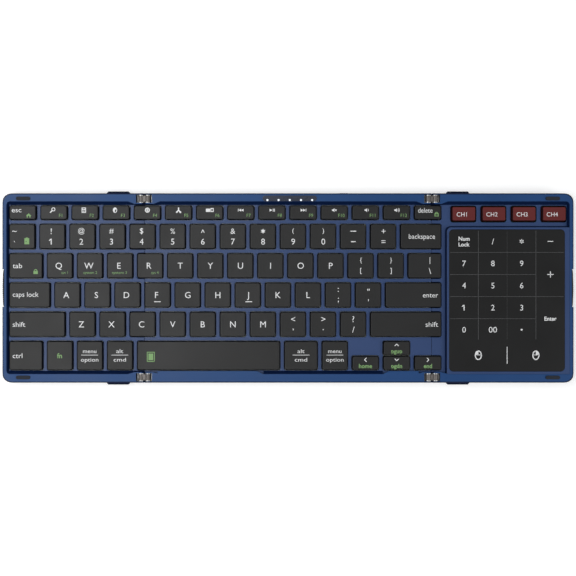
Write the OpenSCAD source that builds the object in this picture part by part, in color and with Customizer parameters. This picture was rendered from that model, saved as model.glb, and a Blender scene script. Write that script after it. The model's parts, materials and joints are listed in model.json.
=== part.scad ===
// Folding keyboard: a middle panel and two wings that turn over onto it on double-pin hinges.
// +X to the right, +Y to the back, +Z up. The origin is on the table, under the middle.

/* [Keys] */
// Width of one key unit, centre to centre
key_pitch = 19; // [18.6:0.1:19.4]
// Depth of one letter row, centre to centre
row_pitch = 18.5; // [18.2:0.1:19]
// Depth of the function row
function_row = 12.15; // [12:0.05:13]
// Depth of the bottom row
bottom_row = 21.05; // [20.6:0.05:22]
// Bar of deck between two key openings
web = 2; // [1.8:0.1:2.2]
// Gap between a key and its opening
key_gap = 0.4; // [0.3:0.05:0.5]
// Gap between the two half-height arrow keys
half_key_gap = 0.45; // [0.4:0.05:0.6]
// Height of a key from its skirt to its top
key_h = 3; // [2.8:0.1:3.2]
// Travel of a key
key_travel = 1.6; // [1.4:0.05:1.65]
// Thickness of a key's top wall
key_roof = 1; // [0.8:0.1:1.1]
// Thickness of a key's skirt
key_wall = 0.8; // [0.6:0.1:1]
// Radius of a key's upright corners
key_r = 1.4; // [1:0.1:1.6]
// Width of the bevel round a key's top
key_bevel_w = 0.35; // [0.2:0.05:0.5]
// Height of the bevel round a key's top
key_bevel_h = 0.6; // [0.3:0.1:0.9]
// Width of a mode key
mode_key_w = 15.6; // [14:0.1:16.4]
// Depth of a mode key
mode_key_d = 9.8; // [9:0.1:10.4]

/* [Frame] */
// Width of the rail at each end
side_rail_w = 2.6; // [2.5:0.1:2.9]
// Depth of the rail along the back
rear_rail_w = 5.1; // [4.9:0.05:5.3]
// Depth of the rail along the front
front_rail_w = 5.45; // [5.3:0.05:5.6]
// Strip of deck between the left rail and the keys
side_margin = 0.2; // [0.2:0.1:1]
// Strip of deck between the back rail and the keys
rear_margin = 0.7; // [0.6:0.05:1]
// Further strip of deck behind the function keys
function_inset = 0.5; // [0:0.1:0.6]
// Strip of deck between the keys and the front rail
front_margin = 1.05; // [0.8:0.05:1.4]
// Left ledge of the front rail: from the left fold to its nearest end
ledge_from_left = 8.5; // [8:0.5:14]
// Length of the left ledge
left_ledge_l = 66.8; // [50:0.1:70]
// Right ledge of the front rail: from the right fold to its nearest end
ledge_from_right = 8.5; // [8:0.5:14]
// Length of the right ledge
right_ledge_l = 22.6; // [10:0.1:26]
// Radius of the four outer corners
corner_r = 6; // [4:0.5:8]
// Bevel along the rails' outer top edges
rail_bevel = 0.6; // [0.3:0.1:0.9]
// Left fold, in key units from the first key
left_fold_units = 4.555; // [4.53:0.005:4.56]
// Right fold, in key units from the first key
right_fold_units = 14.12; // [14.11:0.01:14.15]
// Gap between two panels at a fold
fold_gap = 0.2; // [0.15:0.05:0.3]

/* [Heights] */
// Height of the feet
foot_h = 0.8; // [0.6:0.1:1.2]
// Thickness of the bottom covers
base_t = 1; // [0.9:0.1:1.3]
// Space between a bottom cover and the support plate
plate_rise = 2.4; // [2.3:0.1:2.8]
// Thickness of the support plates
plate_t = 0.4; // [0.3:0.1:0.5]
// Thickness of the switch membranes
membrane_t = 0.25; // [0.2:0.05:0.3]
// Space between a membrane and the deck
deck_rise = 1.95; // [1.9:0.05:2.2]
// Thickness of the deck
deck_t = 1; // [0.8:0.1:1.2]
// Height of the key tops above the deck
key_rise = 1.8; // [1.7:0.05:1.85]
// Height of the rails above the deck
rail_rise = 2.2; // [2.1:0.1:2.4]

/* [Hinges] */
// Distance between the two pins of a hinge
pin_pitch = 4.4; // [4.2:0.1:4.6]
// Radius of a pin
pin_r = 0.8; // [0.6:0.05:0.9]
// Gap round a pin in its bracket
pin_gap = 0.05; // [0.02:0.01:0.08]
// Gap round a pin in its link
press_gap = 0.01; // [0.01:0.01:0.02]
// Radius of a link's round ends
link_r = 1.7; // [1.5:0.05:1.8]
// Width of a link along its pins
link_w = 3.6; // [3.2:0.1:3.7]
// Gap on each side of a link
link_gap = 0.1; // [0.05:0.05:0.15]
// Thickness of a bracket's ears
ear_t = 0.6; // [0.5:0.05:0.65]
// Thickness of a bracket's floor
bracket_floor = 0.7; // [0.5:0.1:0.8]
// Rail wall left round a bracket
hinge_skin = 0.65; // [0.5:0.05:0.7]
// Length of the link's pocket on each side of a fold
pocket_l = 5; // [4.8:0.1:6]
// Length of a bracket's floor under its rail
bracket_l = 9; // [8:0.5:9.5]
// Distance from a hinge's middle to the outer face of its rail
hinge_inset = 3.45; // [3.3:0.05:3.5]
// Length of the straight part of the rail's swelling beside a hinge
swell_l = 6; // [5.5:0.5:7]
// Length of the swelling's ramp
swell_ramp = 4; // [3:0.5:5]

/* [Touch pad] */
// Width of the touch pad
pad_w = 72.9; // [68:0.1:76]
// Depth of the touch pad
pad_d = 89.5; // [86:0.1:90]
// Thickness of the touch pad
pad_t = 0.8; // [0.6:0.1:1]
// Depth of the touch pad below its frame, which is level with the rails
pad_sink = 0.1; // [0.05:0.05:0.3]
// Distance from the last key unit to the touch pad
pad_left_margin = 3.5; // [3:0.1:4]
// Distance from the touch pad to the right rail
pad_right_margin = 3.1; // [3:0.1:4]
// Distance from the touch pad to the front rail
pad_front_margin = 1.7; // [1.4:0.1:2]
// Distance from the touch pad to the mode keys' openings
pad_back_margin = 4.6; // [3.6:0.1:4.6]
// Distance from the mode keys' openings to the back rail
mode_margin = 2.5; // [1.6:0.1:2.5]
// Radius of the touch pad's corners
pad_r = 2.5; // [1.5:0.5:4]
// Width of the ledge that holds the touch pad
pad_ledge = 1.5; // [1:0.1:2]
// Width of the groove round the touch pad
groove_w = 0.8; // [0.5:0.1:1]
// Depth of the groove round the touch pad
groove_d = 0.45; // [0.3:0.05:0.6]
// Distance from the touch pad to the groove
groove_offset = 1.4; // [1.2:0.1:1.6]

/* [Trim] */
// Length of a bumper on the left wing
left_bumper_l = 9; // [8:0.5:11]
// Length of a bumper on the right wing
right_bumper_l = 9; // [8:0.5:11]
// Width of a bumper
bumper_w = 2.3; // [2:0.1:2.6]
// Height of a bumper above its rail
bumper_h = 0.5; // [0.4:0.05:0.6]
// Depth of a bumper's pocket
bumper_pocket = 1; // [0.6:0.1:1.4]
// Distance from a wing's end to its bumper
bumper_inset = 8.8; // [8:0.2:12]
// Distance from the middle of the back rail's depth to the bumpers, and the same in front
bumper_shift = 0.8; // [0.5:0.1:0.9]
// Length of the grip in each end
grip_l = 23.6; // [20:0.2:28]
// Depth of the grip's notch in the end rail
grip_notch = 1.3; // [1.1:0.1:1.4]
// How far the grip stands out from the end
grip_bulge = 0.05; // [0.05:0.05:0.3]
// How much further the grip's middle stands out than its ends
grip_arch = 0.5; // [0.3:0.1:0.6]
// Height of the grip
grip_h = 7.6; // [6:0.2:7.6]
// Radius of the grip's ends
grip_end_r = 0.9; // [0.6:0.1:1]
// Length of a lug at its root
lug_l = 15; // [12:0.2:18]
// How far a lug stands out from the long side
lug_out = 1.8; // [1.2:0.05:1.9]
// Height of a lug's root
lug_h = 4.6; // [3.5:0.1:5]
// Distance from a fold to the nearest end of a lug
lug_inset = 9.8; // [9:0.2:12]
// Length of the status window
window_l = 34.2; // [30:0.2:38]
// Width of the status window
window_w = 3.5; // [3:0.1:3.6]
// Rail wall left between the window and the deck
window_skin = 0.1; // [0.1:0.05:0.2]
// Thickness of the status window
window_t = 1; // [0.8:0.1:1.2]
// Distance from the middle panel's middle to the window's middle
window_shift = 1.1; // [0:0.1:3]
// Number of light pipes in the window
pipe_count = 5; // [3:1:6]
// Distance between two light pipes
pipe_pitch = 7.05; // [6:0.05:7.2]
// Distance from the window's middle forward to the light pipes
pipe_shift = 0.85; // [0:0.05:0.85]
// Radius of a light pipe
pipe_r = 0.6; // [0.5:0.05:0.7]
// Length of a light pipe below the window
pipe_l = 2.6; // [2:0.1:3]
// Length of a foot
foot_l = 14; // [10:1:18]
// Width of a foot
foot_w = 4; // [3:0.5:6]
// Distance from a panel's long side to its feet
foot_inset = 6.6; // [6.4:0.1:9]
// Distance from a fold or an end to the nearest foot
foot_end = 12; // [11:1:16]

/* [Ports and electronics] */
// Length of the power switch knob
switch_l = 4.9; // [4:0.1:6]
// Height of the power switch knob
switch_h = 2; // [1.6:0.1:2.2]
// How far the knob stands out at the back
switch_out = 0.5; // [0.3:0.1:0.8]
// Travel of the power switch
switch_travel = 2.5; // [2:0.1:3]
// Distance from the middle panel's middle to the knob when it is off
switch_shift = 35.4; // [32:0.2:38]
// Width of the charging socket
socket_w = 8.94; // [8.9:0.02:9]
// Height of the charging socket
socket_h = 3.26; // [3.2:0.02:3.3]
// Depth of the charging socket
socket_d = 6.8; // [6.6:0.1:7.2]
// Thickness of the socket's shell
socket_wall = 0.3; // [0.25:0.05:0.35]
// Thickness of the tongue in the socket
socket_tongue = 0.7; // [0.6:0.1:0.8]
// Distance from the middle panel's middle to the charging socket
socket_shift = 60; // [56:0.5:62]
// Space under the main board
board_rise = 0.5; // [0.4:0.1:0.6]
// Thickness of the circuit boards
board_t = 0.8; // [0.6:0.1:0.9]
// Depth of the main board
board_d = 24; // [18:1:30]
// Space under the wing board
wing_board_rise = 1.8; // [1.6:0.1:2]
// Depth of the wing board
wing_board_d = 30; // [26:1:34]
// Width of the battery
battery_w = 62; // [54:1:66]
// Depth of the battery
battery_d = 66; // [56:1:68]
// Thickness of the battery
battery_t = 3.8; // [3:0.1:4]
// Radius of a screw's shank
screw_r = 0.85; // [0.7:0.05:0.9]
// Radius of a screw's head
screw_head_r = 1.75; // [1.5:0.05:1.8]
// Thickness of a screw's head
screw_head_h = 0.45; // [0.4:0.05:0.5]
// Length of a screw's shank
screw_l = 4.2; // [3.5:0.1:4.6]
// Gap round a screw
screw_gap = 0.06; // [0.05:0.01:0.1]

/* [Hidden] */

$fn = 48;

// Gap between two pieces that lie against each other
seat = 0.05;
// How far a cutter runs past what it cuts
over = 1;

blue = [0.20, 0.30, 0.50];
deck_blue = [0.24, 0.30, 0.42];
navy = [0.08, 0.13, 0.26];
key_grey = [0.18, 0.18, 0.19];
pad_black = [0.10, 0.10, 0.11];
mode_red = [0.45, 0.20, 0.20];
rubber_black = [0.06, 0.06, 0.07];
steel = [0.72, 0.72, 0.72];
board_green = [0.12, 0.35, 0.22];
film = [0.75, 0.78, 0.72];
silver = [0.75, 0.76, 0.78];

// Key block: six rows, each as wide as block_units
block_units = 14.5;
function_count = 14;
function_units = block_units / function_count;
space_units = block_units - 6.5 - 3 * function_units;
row_units = [
    [for (i = [1:function_count]) function_units],
    concat([for (i = [1:13]) 1], [1.5]),
    concat([1.25], [for (i = [1:12]) 1], [1.25]),
    concat([1.5], [for (i = [1:11]) 1], [2]),
    concat([2], [for (i = [1:10]) 1], [2.5]),
    concat([1.25, 1, 1, 1, space_units, 1.25, 1], [for (i = [1:3]) function_units])
];
row_depths = [function_row, row_pitch, row_pitch, row_pitch, row_pitch, bottom_row];
// How many keys of each row belong to the left wing
left_counts = [4, 4, 4, 4, 3, 4];
// First arrow key of the bottom row
first_arrow = 7;
row_last = [for (units = row_units) len(units) - 1];

// Overall length and depth, without grips and lugs
block_w = block_units * key_pitch;
block_d = function_row + 4 * row_pitch + bottom_row;
body_l = 2 * side_rail_w + side_margin + block_w + pad_left_margin + pad_w + pad_right_margin;
mode_d = mode_key_d + 2 * key_gap;
keys_d = rear_margin + block_d + front_margin;
pad_column_d = mode_margin + mode_d + pad_back_margin + pad_d + pad_front_margin;
body_d = rear_rail_w + max(keys_d, pad_column_d) + front_rail_w;
x_end = body_l / 2;
y_end = body_d / 2;
block_x = -x_end + side_rail_w + side_margin;
block_y = y_end - rear_rail_w - rear_margin;
rear_in = y_end - rear_rail_w;
front_in = -y_end + front_rail_w;
fold_x = [block_x + left_fold_units * key_pitch, block_x + right_fold_units * key_pitch];
centre_x = (fold_x[0] + fold_x[1]) / 2;

// Heights of the layers, from the table up
base_z = foot_h;
floor_z = base_z + base_t;
plate_z = floor_z + plate_rise;
membrane_z = plate_z + plate_t;
membrane_top = membrane_z + membrane_t;
deck_z = membrane_top + deck_rise;
deck_top = deck_z + deck_t;
key_top = deck_top + key_rise;
key_z = key_top - key_h;
rail_top = deck_top + rail_rise;

// Hinges: the wing lands its bumpers on the middle panel's rails
landing_gap = 0.04;
fold_plane = rail_top + (bumper_h + landing_gap) / 2;
pin_z = fold_plane - pin_pitch / 2;
roll_r = pin_pitch / 2 - seat;
hinge_y = y_end - hinge_inset;
ear_in = link_w / 2 + link_gap;
ear_out = ear_in + ear_t;
pocket_half = ear_out + seat;
housing_half = pocket_half + hinge_skin;
pocket_z = pin_z - link_r - link_gap;
bracket_z = pocket_z - bracket_floor;
pin_l = 2 * ear_out;

// Touch pad and mode keys
pad_x0 = block_x + block_w + pad_left_margin;
pad_x1 = pad_x0 + pad_w;
pad_y0 = front_in + pad_front_margin;
pad_y1 = pad_y0 + pad_d;
pad_box = [pad_x0, pad_y0, pad_x1, pad_y1];
pad_top = rail_top - pad_sink;
mode_count = 4;
mode_first = pad_x0 + 1.2;
mode_last = x_end - side_rail_w - 1.3;
mode_w = mode_key_w + 2 * key_gap;
mode_step = (mode_last - mode_first - mode_w) / (mode_count - 1);
mode_y = rear_in - mode_margin - mode_d / 2;

// Electronics
switch_x = centre_x + switch_shift;
socket_x = centre_x + socket_shift;
window_x = centre_x + window_shift;
window_y = rear_in + window_skin + window_w / 2;
board_z = floor_z + board_rise;
board_top = board_z + board_t;
board_y1 = rear_in - 0.3;
board_x0 = switch_x - 8;
board_x1 = socket_x + 10;
switch_z = board_top + 1.4;
switch_body_y = block_y - web / 2 - 0.1;
notch_y = switch_body_y - 0.2;
wing_board_z = floor_z + wing_board_rise;
wing_board_top = wing_board_z + board_t;
wing_board_y0 = rear_in - 2 - wing_board_d;

// Small parts
screw_y = y_end - 2.6;
screw_tip = base_z + screw_head_h + screw_l;
screw_from_fold = 19;
screw_from_end = 14;
foot_y = y_end - foot_inset;
grip_r = grip_l * grip_l / (8 * grip_arch) + grip_arch / 2;
grip_z = rail_top - 0.5 - grip_h;

// ---- Key boxes: [left, front, right, back] of each opening ----
function sum_to(list, n) = n <= 0 ? 0 : list[n - 1] + sum_to(list, n - 1);
function row_back(r) = block_y - sum_to(row_depths, r);
function key_left(r, i) = block_x + key_pitch * sum_to(row_units[r], i);
open_front = row_back(5) - bottom_row + web / 2;
open_back = row_back(5) - web / 2;
half_d = (open_back - open_front - 2 * key_gap - half_key_gap) / 2;
half_open = half_d + 2 * key_gap;
function key_box(r, i) = [
    key_left(r, i) + web / 2,
    row_back(r) - row_depths[r] + web / 2,
    key_left(r, i + 1) - web / 2,
    (r == 5 && i >= first_arrow) ? open_front + half_open
        : row_back(r) - web / 2 - (r == 0 ? function_inset : 0)
];
up_box = [
    key_left(5, first_arrow + 1) + web / 2, open_back - half_open,
    key_left(5, first_arrow + 2) - web / 2, open_back
];
function boxes(r, from, to) = [for (i = [from:to]) key_box(r, i)];
left_boxes = [for (r = [0:5]) for (i = [0:left_counts[r] - 1]) key_box(r, i)];
centre_boxes = concat([for (r = [0:5]) for (i = [left_counts[r]:row_last[r]]) key_box(r, i)], [up_box]);
arrow_boxes = concat(boxes(5, first_arrow, row_last[5]), [up_box]);
mode_boxes = [
    for (i = [0:mode_count - 1])
        let (x = mode_first + i * mode_step, y = mode_y - mode_d / 2)
        [x, y, x + mode_w, y + mode_d]
];
// The bottom cover reaches this far past the keys' openings, so that nothing shows through
cover_lap = 0.1;
// Openings nearer than this to a fold run out through it
fold_reach = 1.2;
left_over = [for (b = centre_boxes) if (b[0] < fold_x[0] - fold_reach) b];
right_over = [for (b = centre_boxes) if (b[2] > fold_x[1] + fold_reach) b];
tongue_gap = 0.5;

// ---- Outlines ----
function arc(x, y, r, from, to, steps = 6) =
    [for (i = [0:steps]) let (a = from + (to - from) * i / steps) [x + r * cos(a), y + r * sin(a)]];
function round_box(b, r, steps = 3) = concat(
    arc(b[2] - r, b[3] - r, r, 0, 90, steps), arc(b[0] + r, b[3] - r, r, 90, 180, steps),
    arc(b[0] + r, b[1] + r, r, 180, 270, steps), arc(b[2] - r, b[1] + r, r, 270, 360, steps)
);
function inset(b, d) = [b[0] + d, b[1] + d, b[2] - d, b[3] - d];
// Inside of a wing's rails: side is -1 on the left and 1 on the right, gap draws it in all round
function wing_inside(side, gap) =
    let (
        f = side < 0 ? fold_x[0] : fold_x[1],
        edge = f + side * (gap > 0 ? fold_gap / 2 : -over),
        end = side * (x_end - side_rail_w - gap),
        near = f + side * (swell_l + gap),
        far = f + side * (swell_l + swell_ramp + gap),
        swell = hinge_y - housing_half - gap
    )
    [
        [end, rear_in - gap], [far, rear_in - gap], [near, swell], [edge, swell],
        [edge, -swell], [near, -swell], [far, front_in + gap], [end, front_in + gap]
    ];
function centre_inside(gap) =
    let (
        edges = [fold_x[0] + (gap > 0 ? fold_gap / 2 : -over), fold_x[1] - (gap > 0 ? fold_gap / 2 : -over)],
        near = [fold_x[0] + swell_l + gap, fold_x[1] - swell_l - gap],
        far = [fold_x[0] + swell_l + swell_ramp + gap, fold_x[1] - swell_l - swell_ramp - gap],
        swell = hinge_y - housing_half - gap
    )
    [
        [edges[0], swell], [near[0], swell], [far[0], rear_in - gap],
        [far[1], rear_in - gap], [near[1], swell], [edges[1], swell],
        [edges[1], -swell], [near[1], -swell], [far[1], front_in + gap],
        [far[0], front_in + gap], [near[0], -swell], [edges[0], -swell]
    ];

module slab(z, h) {
    translate([0, 0, z]) linear_extrude(h) children();
}
module wing_outline(side, gap) {
    r = corner_r - gap;
    x = side * (x_end - corner_r);
    y = y_end - corner_r;
    f = (side < 0 ? fold_x[0] : fold_x[1]) + side * fold_gap / 2;
    start = side < 0 ? 90 : 0;
    polygon(concat(
        [[f, side < 0 ? y_end - gap : -y_end + gap]],
        arc(x, side < 0 ? y : -y, r, side < 0 ? 90 : -90, side < 0 ? 180 : 0),
        arc(x, side < 0 ? -y : y, r, side < 0 ? 180 : 0, side < 0 ? 270 : 90),
        [[f, side < 0 ? -y_end + gap : y_end - gap]]
    ));
}
module centre_outline(gap) {
    x = [fold_x[0] + fold_gap / 2, fold_x[1] - fold_gap / 2];
    translate([x[0], -y_end + gap]) square([x[1] - x[0], 2 * (y_end - gap)]);
}
module box_2d(b) {
    translate([b[0], b[1]]) square([b[2] - b[0], b[3] - b[1]]);
}
// A rounded box with its ends at x0 and x1 made square, if they lie beyond it
module run_out_2d(b, x0, x1) {
    polygon(round_box(b, key_r));
    if (x0 < b[0]) box_2d([x0, b[1], b[2] - key_r, b[3]]);
    if (x1 > b[2]) box_2d([b[0] + key_r, b[1], x1, b[3]]);
}
// Openings that a wing's deck leaves for the middle panel's overhanging keys
module wing_openings(side) {
    if (side < 0)
        for (b = left_over) run_out_2d([b[0], b[1], fold_x[0], b[3]], b[0], fold_x[0] + over);
    else
        for (b = right_over) run_out_2d([fold_x[1], b[1], b[2], b[3]], fold_x[1] - over, b[2]);
}
// Notches that a wing's bottom cover leaves for the tongues: gap widens them all round
module wing_notches(side, gap) {
    for (b = side < 0 ? left_over : right_over) box_2d([
        side < 0 ? b[0] - gap : fold_x[1] - over, b[1] - gap,
        side < 0 ? fold_x[0] + over : b[2] + gap, b[3] + gap
    ]);
}
// Tongues of the middle panel that carry those keys: gap draws them in all round
module tongues(gap) {
    for (b = left_over) box_2d([b[0] + gap, b[1] + gap, fold_x[0] + over, b[3] - gap]);
    for (b = right_over) box_2d([fold_x[1] - over, b[1] + gap, b[2] - gap, b[3] - gap]);
}
// Openings of the middle deck: those close to a fold run out through it
module centre_openings() {
    for (b = centre_boxes) run_out_2d(
        b,
        abs(b[0] - fold_x[0]) < fold_reach ? fold_x[0] - over : b[0],
        abs(b[2] - fold_x[1]) < fold_reach ? fold_x[1] + over : b[2]
    );
}
module post(x, y, z0, z1, r) {
    translate([x, y, z0]) cylinder(h = z1 - z0, r = r);
}

// ---- Rails ----
ledge_ramp = 4;
function fold_of(side) = side < 0 ? fold_x[0] : fold_x[1];
// Pocket of one hinge in the rail ends: side points away from the fold
module hinge_pocket(f, side, y) {
    upper = [pocket_l, bracket_z - seat, rail_top + over];
    lower = [bracket_l + seat, bracket_z - seat, pocket_z + seat];
    for (part = [upper, lower])
        translate([side > 0 ? f - over : f - part[0], y - pocket_half, part[1]])
            cube([part[0] + over, 2 * pocket_half, part[2] - part[1]]);
}
// Rounds a rail's end about its pin, so that the two panels roll over each other
module roll_cut(f, side) {
    pin_x = f + side * pin_pitch / 2;
    difference() {
        translate([side > 0 ? f - over : pin_x, -y_end - over, pin_z])
            cube([pin_pitch / 2 + over, 2 * (y_end + over), rail_top - pin_z + over]);
        translate([pin_x, 0, pin_z]) rotate([90, 0, 0])
            cylinder(h = 2 * (y_end + 2 * over), r = roll_r, center = true);
    }
}
module edge_bevels() {
    size = rail_bevel * sqrt(2);
    for (s = [-1, 1]) {
        translate([0, s * y_end, rail_top]) rotate([45, 0, 0])
            cube([body_l + over, size, size], center = true);
        translate([s * x_end, 0, rail_top]) rotate([0, 45, 0])
            cube([size, body_d + over, size], center = true);
    }
}
module screw_bores(xs) {
    for (x = xs, s = [-1, 1])
        post(x, s * screw_y, floor_z - over, screw_tip + screw_gap, screw_r + screw_gap);
}
function wing_screw_x(side) = [fold_of(side) + side * screw_from_fold, side * (x_end - screw_from_end)];
centre_screw_x = [fold_x[0] + screw_from_fold, fold_x[1] - screw_from_fold];
function bumper_x(side) =
    let (l = side < 0 ? left_bumper_l : right_bumper_l) side * (x_end - bumper_inset - l / 2);
module bumper(side, z, h, gap) {
    l = side < 0 ? left_bumper_l : right_bumper_l;
    r = bumper_w / 2 + gap;
    for (s = [-1, 1])
        translate([bumper_x(side), s * (y_end - rear_rail_w / 2 - bumper_shift), z]) {
            translate([-l / 2 + bumper_w / 2, -r, 0]) cube([l - bumper_w, 2 * r, h]);
            for (e = [-1, 1])
                translate([e * (l - bumper_w) / 2, 0, 0]) cylinder(h = h, r = r);
        }
}
module grip_notch_cut(side, z) {
    translate([side > 0 ? x_end - grip_notch : -x_end - over, -grip_l / 2 - seat, z - over])
        cube([grip_notch + over, grip_l + 2 * seat, rail_top + over]);
}
// Ledge between the front rail of the middle panel and the keys, level with the rail
module ledge(x0, x1, ramp0, ramp1) {
    y = front_in + front_margin + web / 2 - 0.1;
    slab(deck_top + seat, rail_rise - seat) polygon([
        [x0, front_in - over], [x0, front_in], [x0 + ramp0, y], [x1 - ramp1, y], [x1, front_in],
        [x1, front_in - over]
    ]);
}
module wing_rails(side) {
    f = fold_of(side);
    difference() {
        slab(floor_z, rail_top - floor_z) wing_outline(side, 0);
        slab(floor_z - over, rail_top - floor_z + 2 * over) polygon(wing_inside(side, 0));
        for (s = [-1, 1]) hinge_pocket(f, side, s * hinge_y);
        roll_cut(f, side);
        edge_bevels();
        screw_bores(wing_screw_x(side));
        bumper(side, rail_top - bumper_pocket, bumper_pocket + over, seat);
        grip_notch_cut(side, floor_z);
    }
}
module left_rails() {
    color(blue) wing_rails(-1);
}
module right_rails() {
    color(blue) wing_rails(1);
}
module centre_rails() {
    left_x = fold_x[0] + ledge_from_left;
    right_x = fold_x[1] - ledge_from_right;
    color(blue) difference() {
        union() {
            difference() {
                slab(floor_z, rail_top - floor_z) centre_outline(0);
                slab(floor_z - over, rail_top - floor_z + 2 * over) polygon(centre_inside(0));
            }
            ledge(left_x, left_x + left_ledge_l, 0, ledge_ramp);
            ledge(right_x - right_ledge_l, right_x, ledge_ramp, 0);
        }
        for (s = [-1, 1]) {
            hinge_pocket(fold_x[0], 1, s * hinge_y);
            hinge_pocket(fold_x[1], -1, s * hinge_y);
        }
        roll_cut(fold_x[0], 1);
        roll_cut(fold_x[1], -1);
        edge_bevels();
        screw_bores(centre_screw_x);
        window_solid(seat);
        translate([socket_x - socket_w / 2 - 0.2, rear_in - over, board_top - 0.1])
            cube([socket_w + 0.4, rear_rail_w + 2 * over, socket_h + 0.3]);
        translate([switch_x - switch_l / 2 - 0.2, rear_in - over, switch_z - 0.1])
            cube([switch_l + switch_travel + 0.4, rear_rail_w + 2 * over, switch_h + 0.2]);
    }
}

// ---- Decks ----
module left_deck() {
    color(deck_blue) slab(deck_z, deck_t) difference() {
        polygon(wing_inside(-1, seat));
        for (b = left_boxes) polygon(round_box(b, key_r));
        wing_openings(-1);
    }
}
module centre_deck() {
    color(deck_blue) slab(deck_z, deck_t) difference() {
        polygon(centre_inside(seat));
        centre_openings();
    }
}
module right_deck() {
    frame = [pad_x0 - groove_offset, -y_end - over, x_end + over, pad_y1 + groove_offset];
    color(deck_blue) difference() {
        union() {
            difference() {
                slab(deck_z, deck_t) difference() {
                    polygon(wing_inside(1, seat));
                    for (b = mode_boxes) polygon(round_box(b, key_r));
                    wing_openings(1);
                }
                slab(deck_top - groove_d, groove_d + over)
                    polygon(round_box(inset(frame, -groove_w), pad_r + groove_w));
            }
            slab(deck_z, rail_top - deck_z) intersection() {
                polygon(wing_inside(1, seat));
                polygon(round_box(frame, pad_r));
            }
        }
        slab(deck_z - over, rail_top) polygon(round_box(inset(pad_box, pad_ledge), pad_r));
        slab(pad_top - pad_t - seat, pad_t + over) polygon(round_box(inset(pad_box, -seat), pad_r));
    }
}

// ---- Bottom covers ----
module lug(f, side, s) {
    x0 = f + side * lug_inset;
    x1 = f + side * (lug_inset + lug_l);
    root = y_end + seat;
    tip = y_end + lug_out;
    slope = 0.6 * (lug_out - seat);
    intersection() {
        slab(base_z, lug_h + over) polygon([
            [x0, s * (root - over)], [x0, s * root], [x0 + side * slope, s * tip],
            [x1 - side * slope, s * tip], [x1, s * root], [x1, s * (root - over)]
        ]);
        translate([min(x0, x1), 0, 0]) rotate([90, 0, 90]) linear_extrude(lug_l) polygon([
            [s * (root - over), base_z], [s * tip, base_z], [s * tip, base_z + 0.8 * lug_h],
            [s * root, base_z + lug_h], [s * root, floor_z], [s * (root - over), floor_z]
        ]);
    }
}
module screw_holes(xs) {
    for (x = xs, s = [-1, 1]) {
        post(x, s * screw_y, base_z - over, floor_z + over, screw_r + screw_gap);
        post(x, s * screw_y, base_z - over, base_z + screw_head_h + seat, screw_head_r + screw_gap);
    }
}
// Posts under the plates: radius and distance between two posts
post_r = 1.5;
post_step_x = 40;
post_step_y = 30;
module plate_posts(xs, ys, top) {
    for (x = xs, y = ys) post(x, y, floor_z - seat, top, post_r);
}
module wing_base(side) {
    difference() {
        union() {
            slab(base_z, base_t) wing_outline(side, 0.4);
            for (s = [-1, 1]) lug(fold_of(side), side, s);
        }
        grip_notch_cut(side, base_z);
        slab(base_z - over, base_t + 2 * over) wing_notches(side, cover_lap + tongue_gap);
        screw_holes(wing_screw_x(side));
    }
}
wing_mid = (fold_x[0] - x_end + side_rail_w) / 2;
module left_base() {
    color(navy) {
        wing_base(-1);
        post_xs = [for (i = [-0.5, 0.5]) wing_mid + i * post_step_x];
        plate_posts(post_xs, [for (i = [-1:1]) i * post_step_y], plate_z);
    }
}
module centre_base() {
    color(navy) {
        difference() {
            slab(base_z, base_t) {
                centre_outline(0.4);
                tongues(-cover_lap);
            }
            screw_holes(centre_screw_x);
        }
        plate_posts([for (i = [-1.5:1.5]) centre_x + i * post_step_x], [-post_step_y, 0], plate_z);
        plate_posts([board_x0 + 4, board_x1 - 4], [board_y1 - 4, board_y1 - board_d + 4], board_z);
    }
}
module right_base() {
    color(navy) {
        wing_base(1);
        plate_posts([pad_x0 + 6, pad_x1 - 6], [wing_board_y0 + 4, rear_in - 6], wing_board_z);
    }
}

// ---- Plates, membranes and scissors ----
// Gap between a plate or membrane and the rails
layer_gap = 0.2;
// A layer of the left wing, cut back from the overhanging keys
module left_layer(z, h) {
    slab(z, h) difference() {
        polygon(wing_inside(-1, layer_gap));
        for (b = left_over) box_2d([b[0] - layer_gap, b[1] - layer_gap, fold_x[0] + over, b[3] + layer_gap]);
    }
}
// A layer of the middle panel, with its tongues and a notch for the main board's tall parts
module centre_layer(z, h) {
    difference() {
        union() {
            slab(z, h) polygon(centre_inside(layer_gap));
            slab(z, h) tongues(tongue_gap);
        }
        translate([board_x0, notch_y, z - over]) cube([board_x1 - board_x0, y_end, h + 2 * over]);
    }
}
module left_plate() {
    color(steel) left_layer(plate_z, plate_t);
}
module centre_plate() {
    color(steel) centre_layer(plate_z, plate_t);
}
dome_r = 1.4;
dome_h = key_top - key_travel - 0.1 - membrane_top;
// Underside of the boss in each key
boss_z = membrane_top + dome_h + seat;
function scissor_xs(b) =
    let (mid = (b[0] + b[2]) / 2, w = b[2] - b[0]) w > 3 * key_pitch ? [mid - w / 4, mid + w / 4] : [mid];
module domes(list) {
    for (b = list, x = scissor_xs(b))
        translate([x, (b[1] + b[3]) / 2, membrane_top - membrane_t / 2])
            cylinder(h = dome_h + membrane_t / 2, r1 = dome_r, r2 = dome_r / 2);
}
module left_membrane() {
    color(film) {
        left_layer(membrane_z, membrane_t);
        domes(left_boxes);
    }
}
module centre_membrane() {
    color(film) {
        centre_layer(membrane_z, membrane_t);
        domes(centre_boxes);
    }
}
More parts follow.
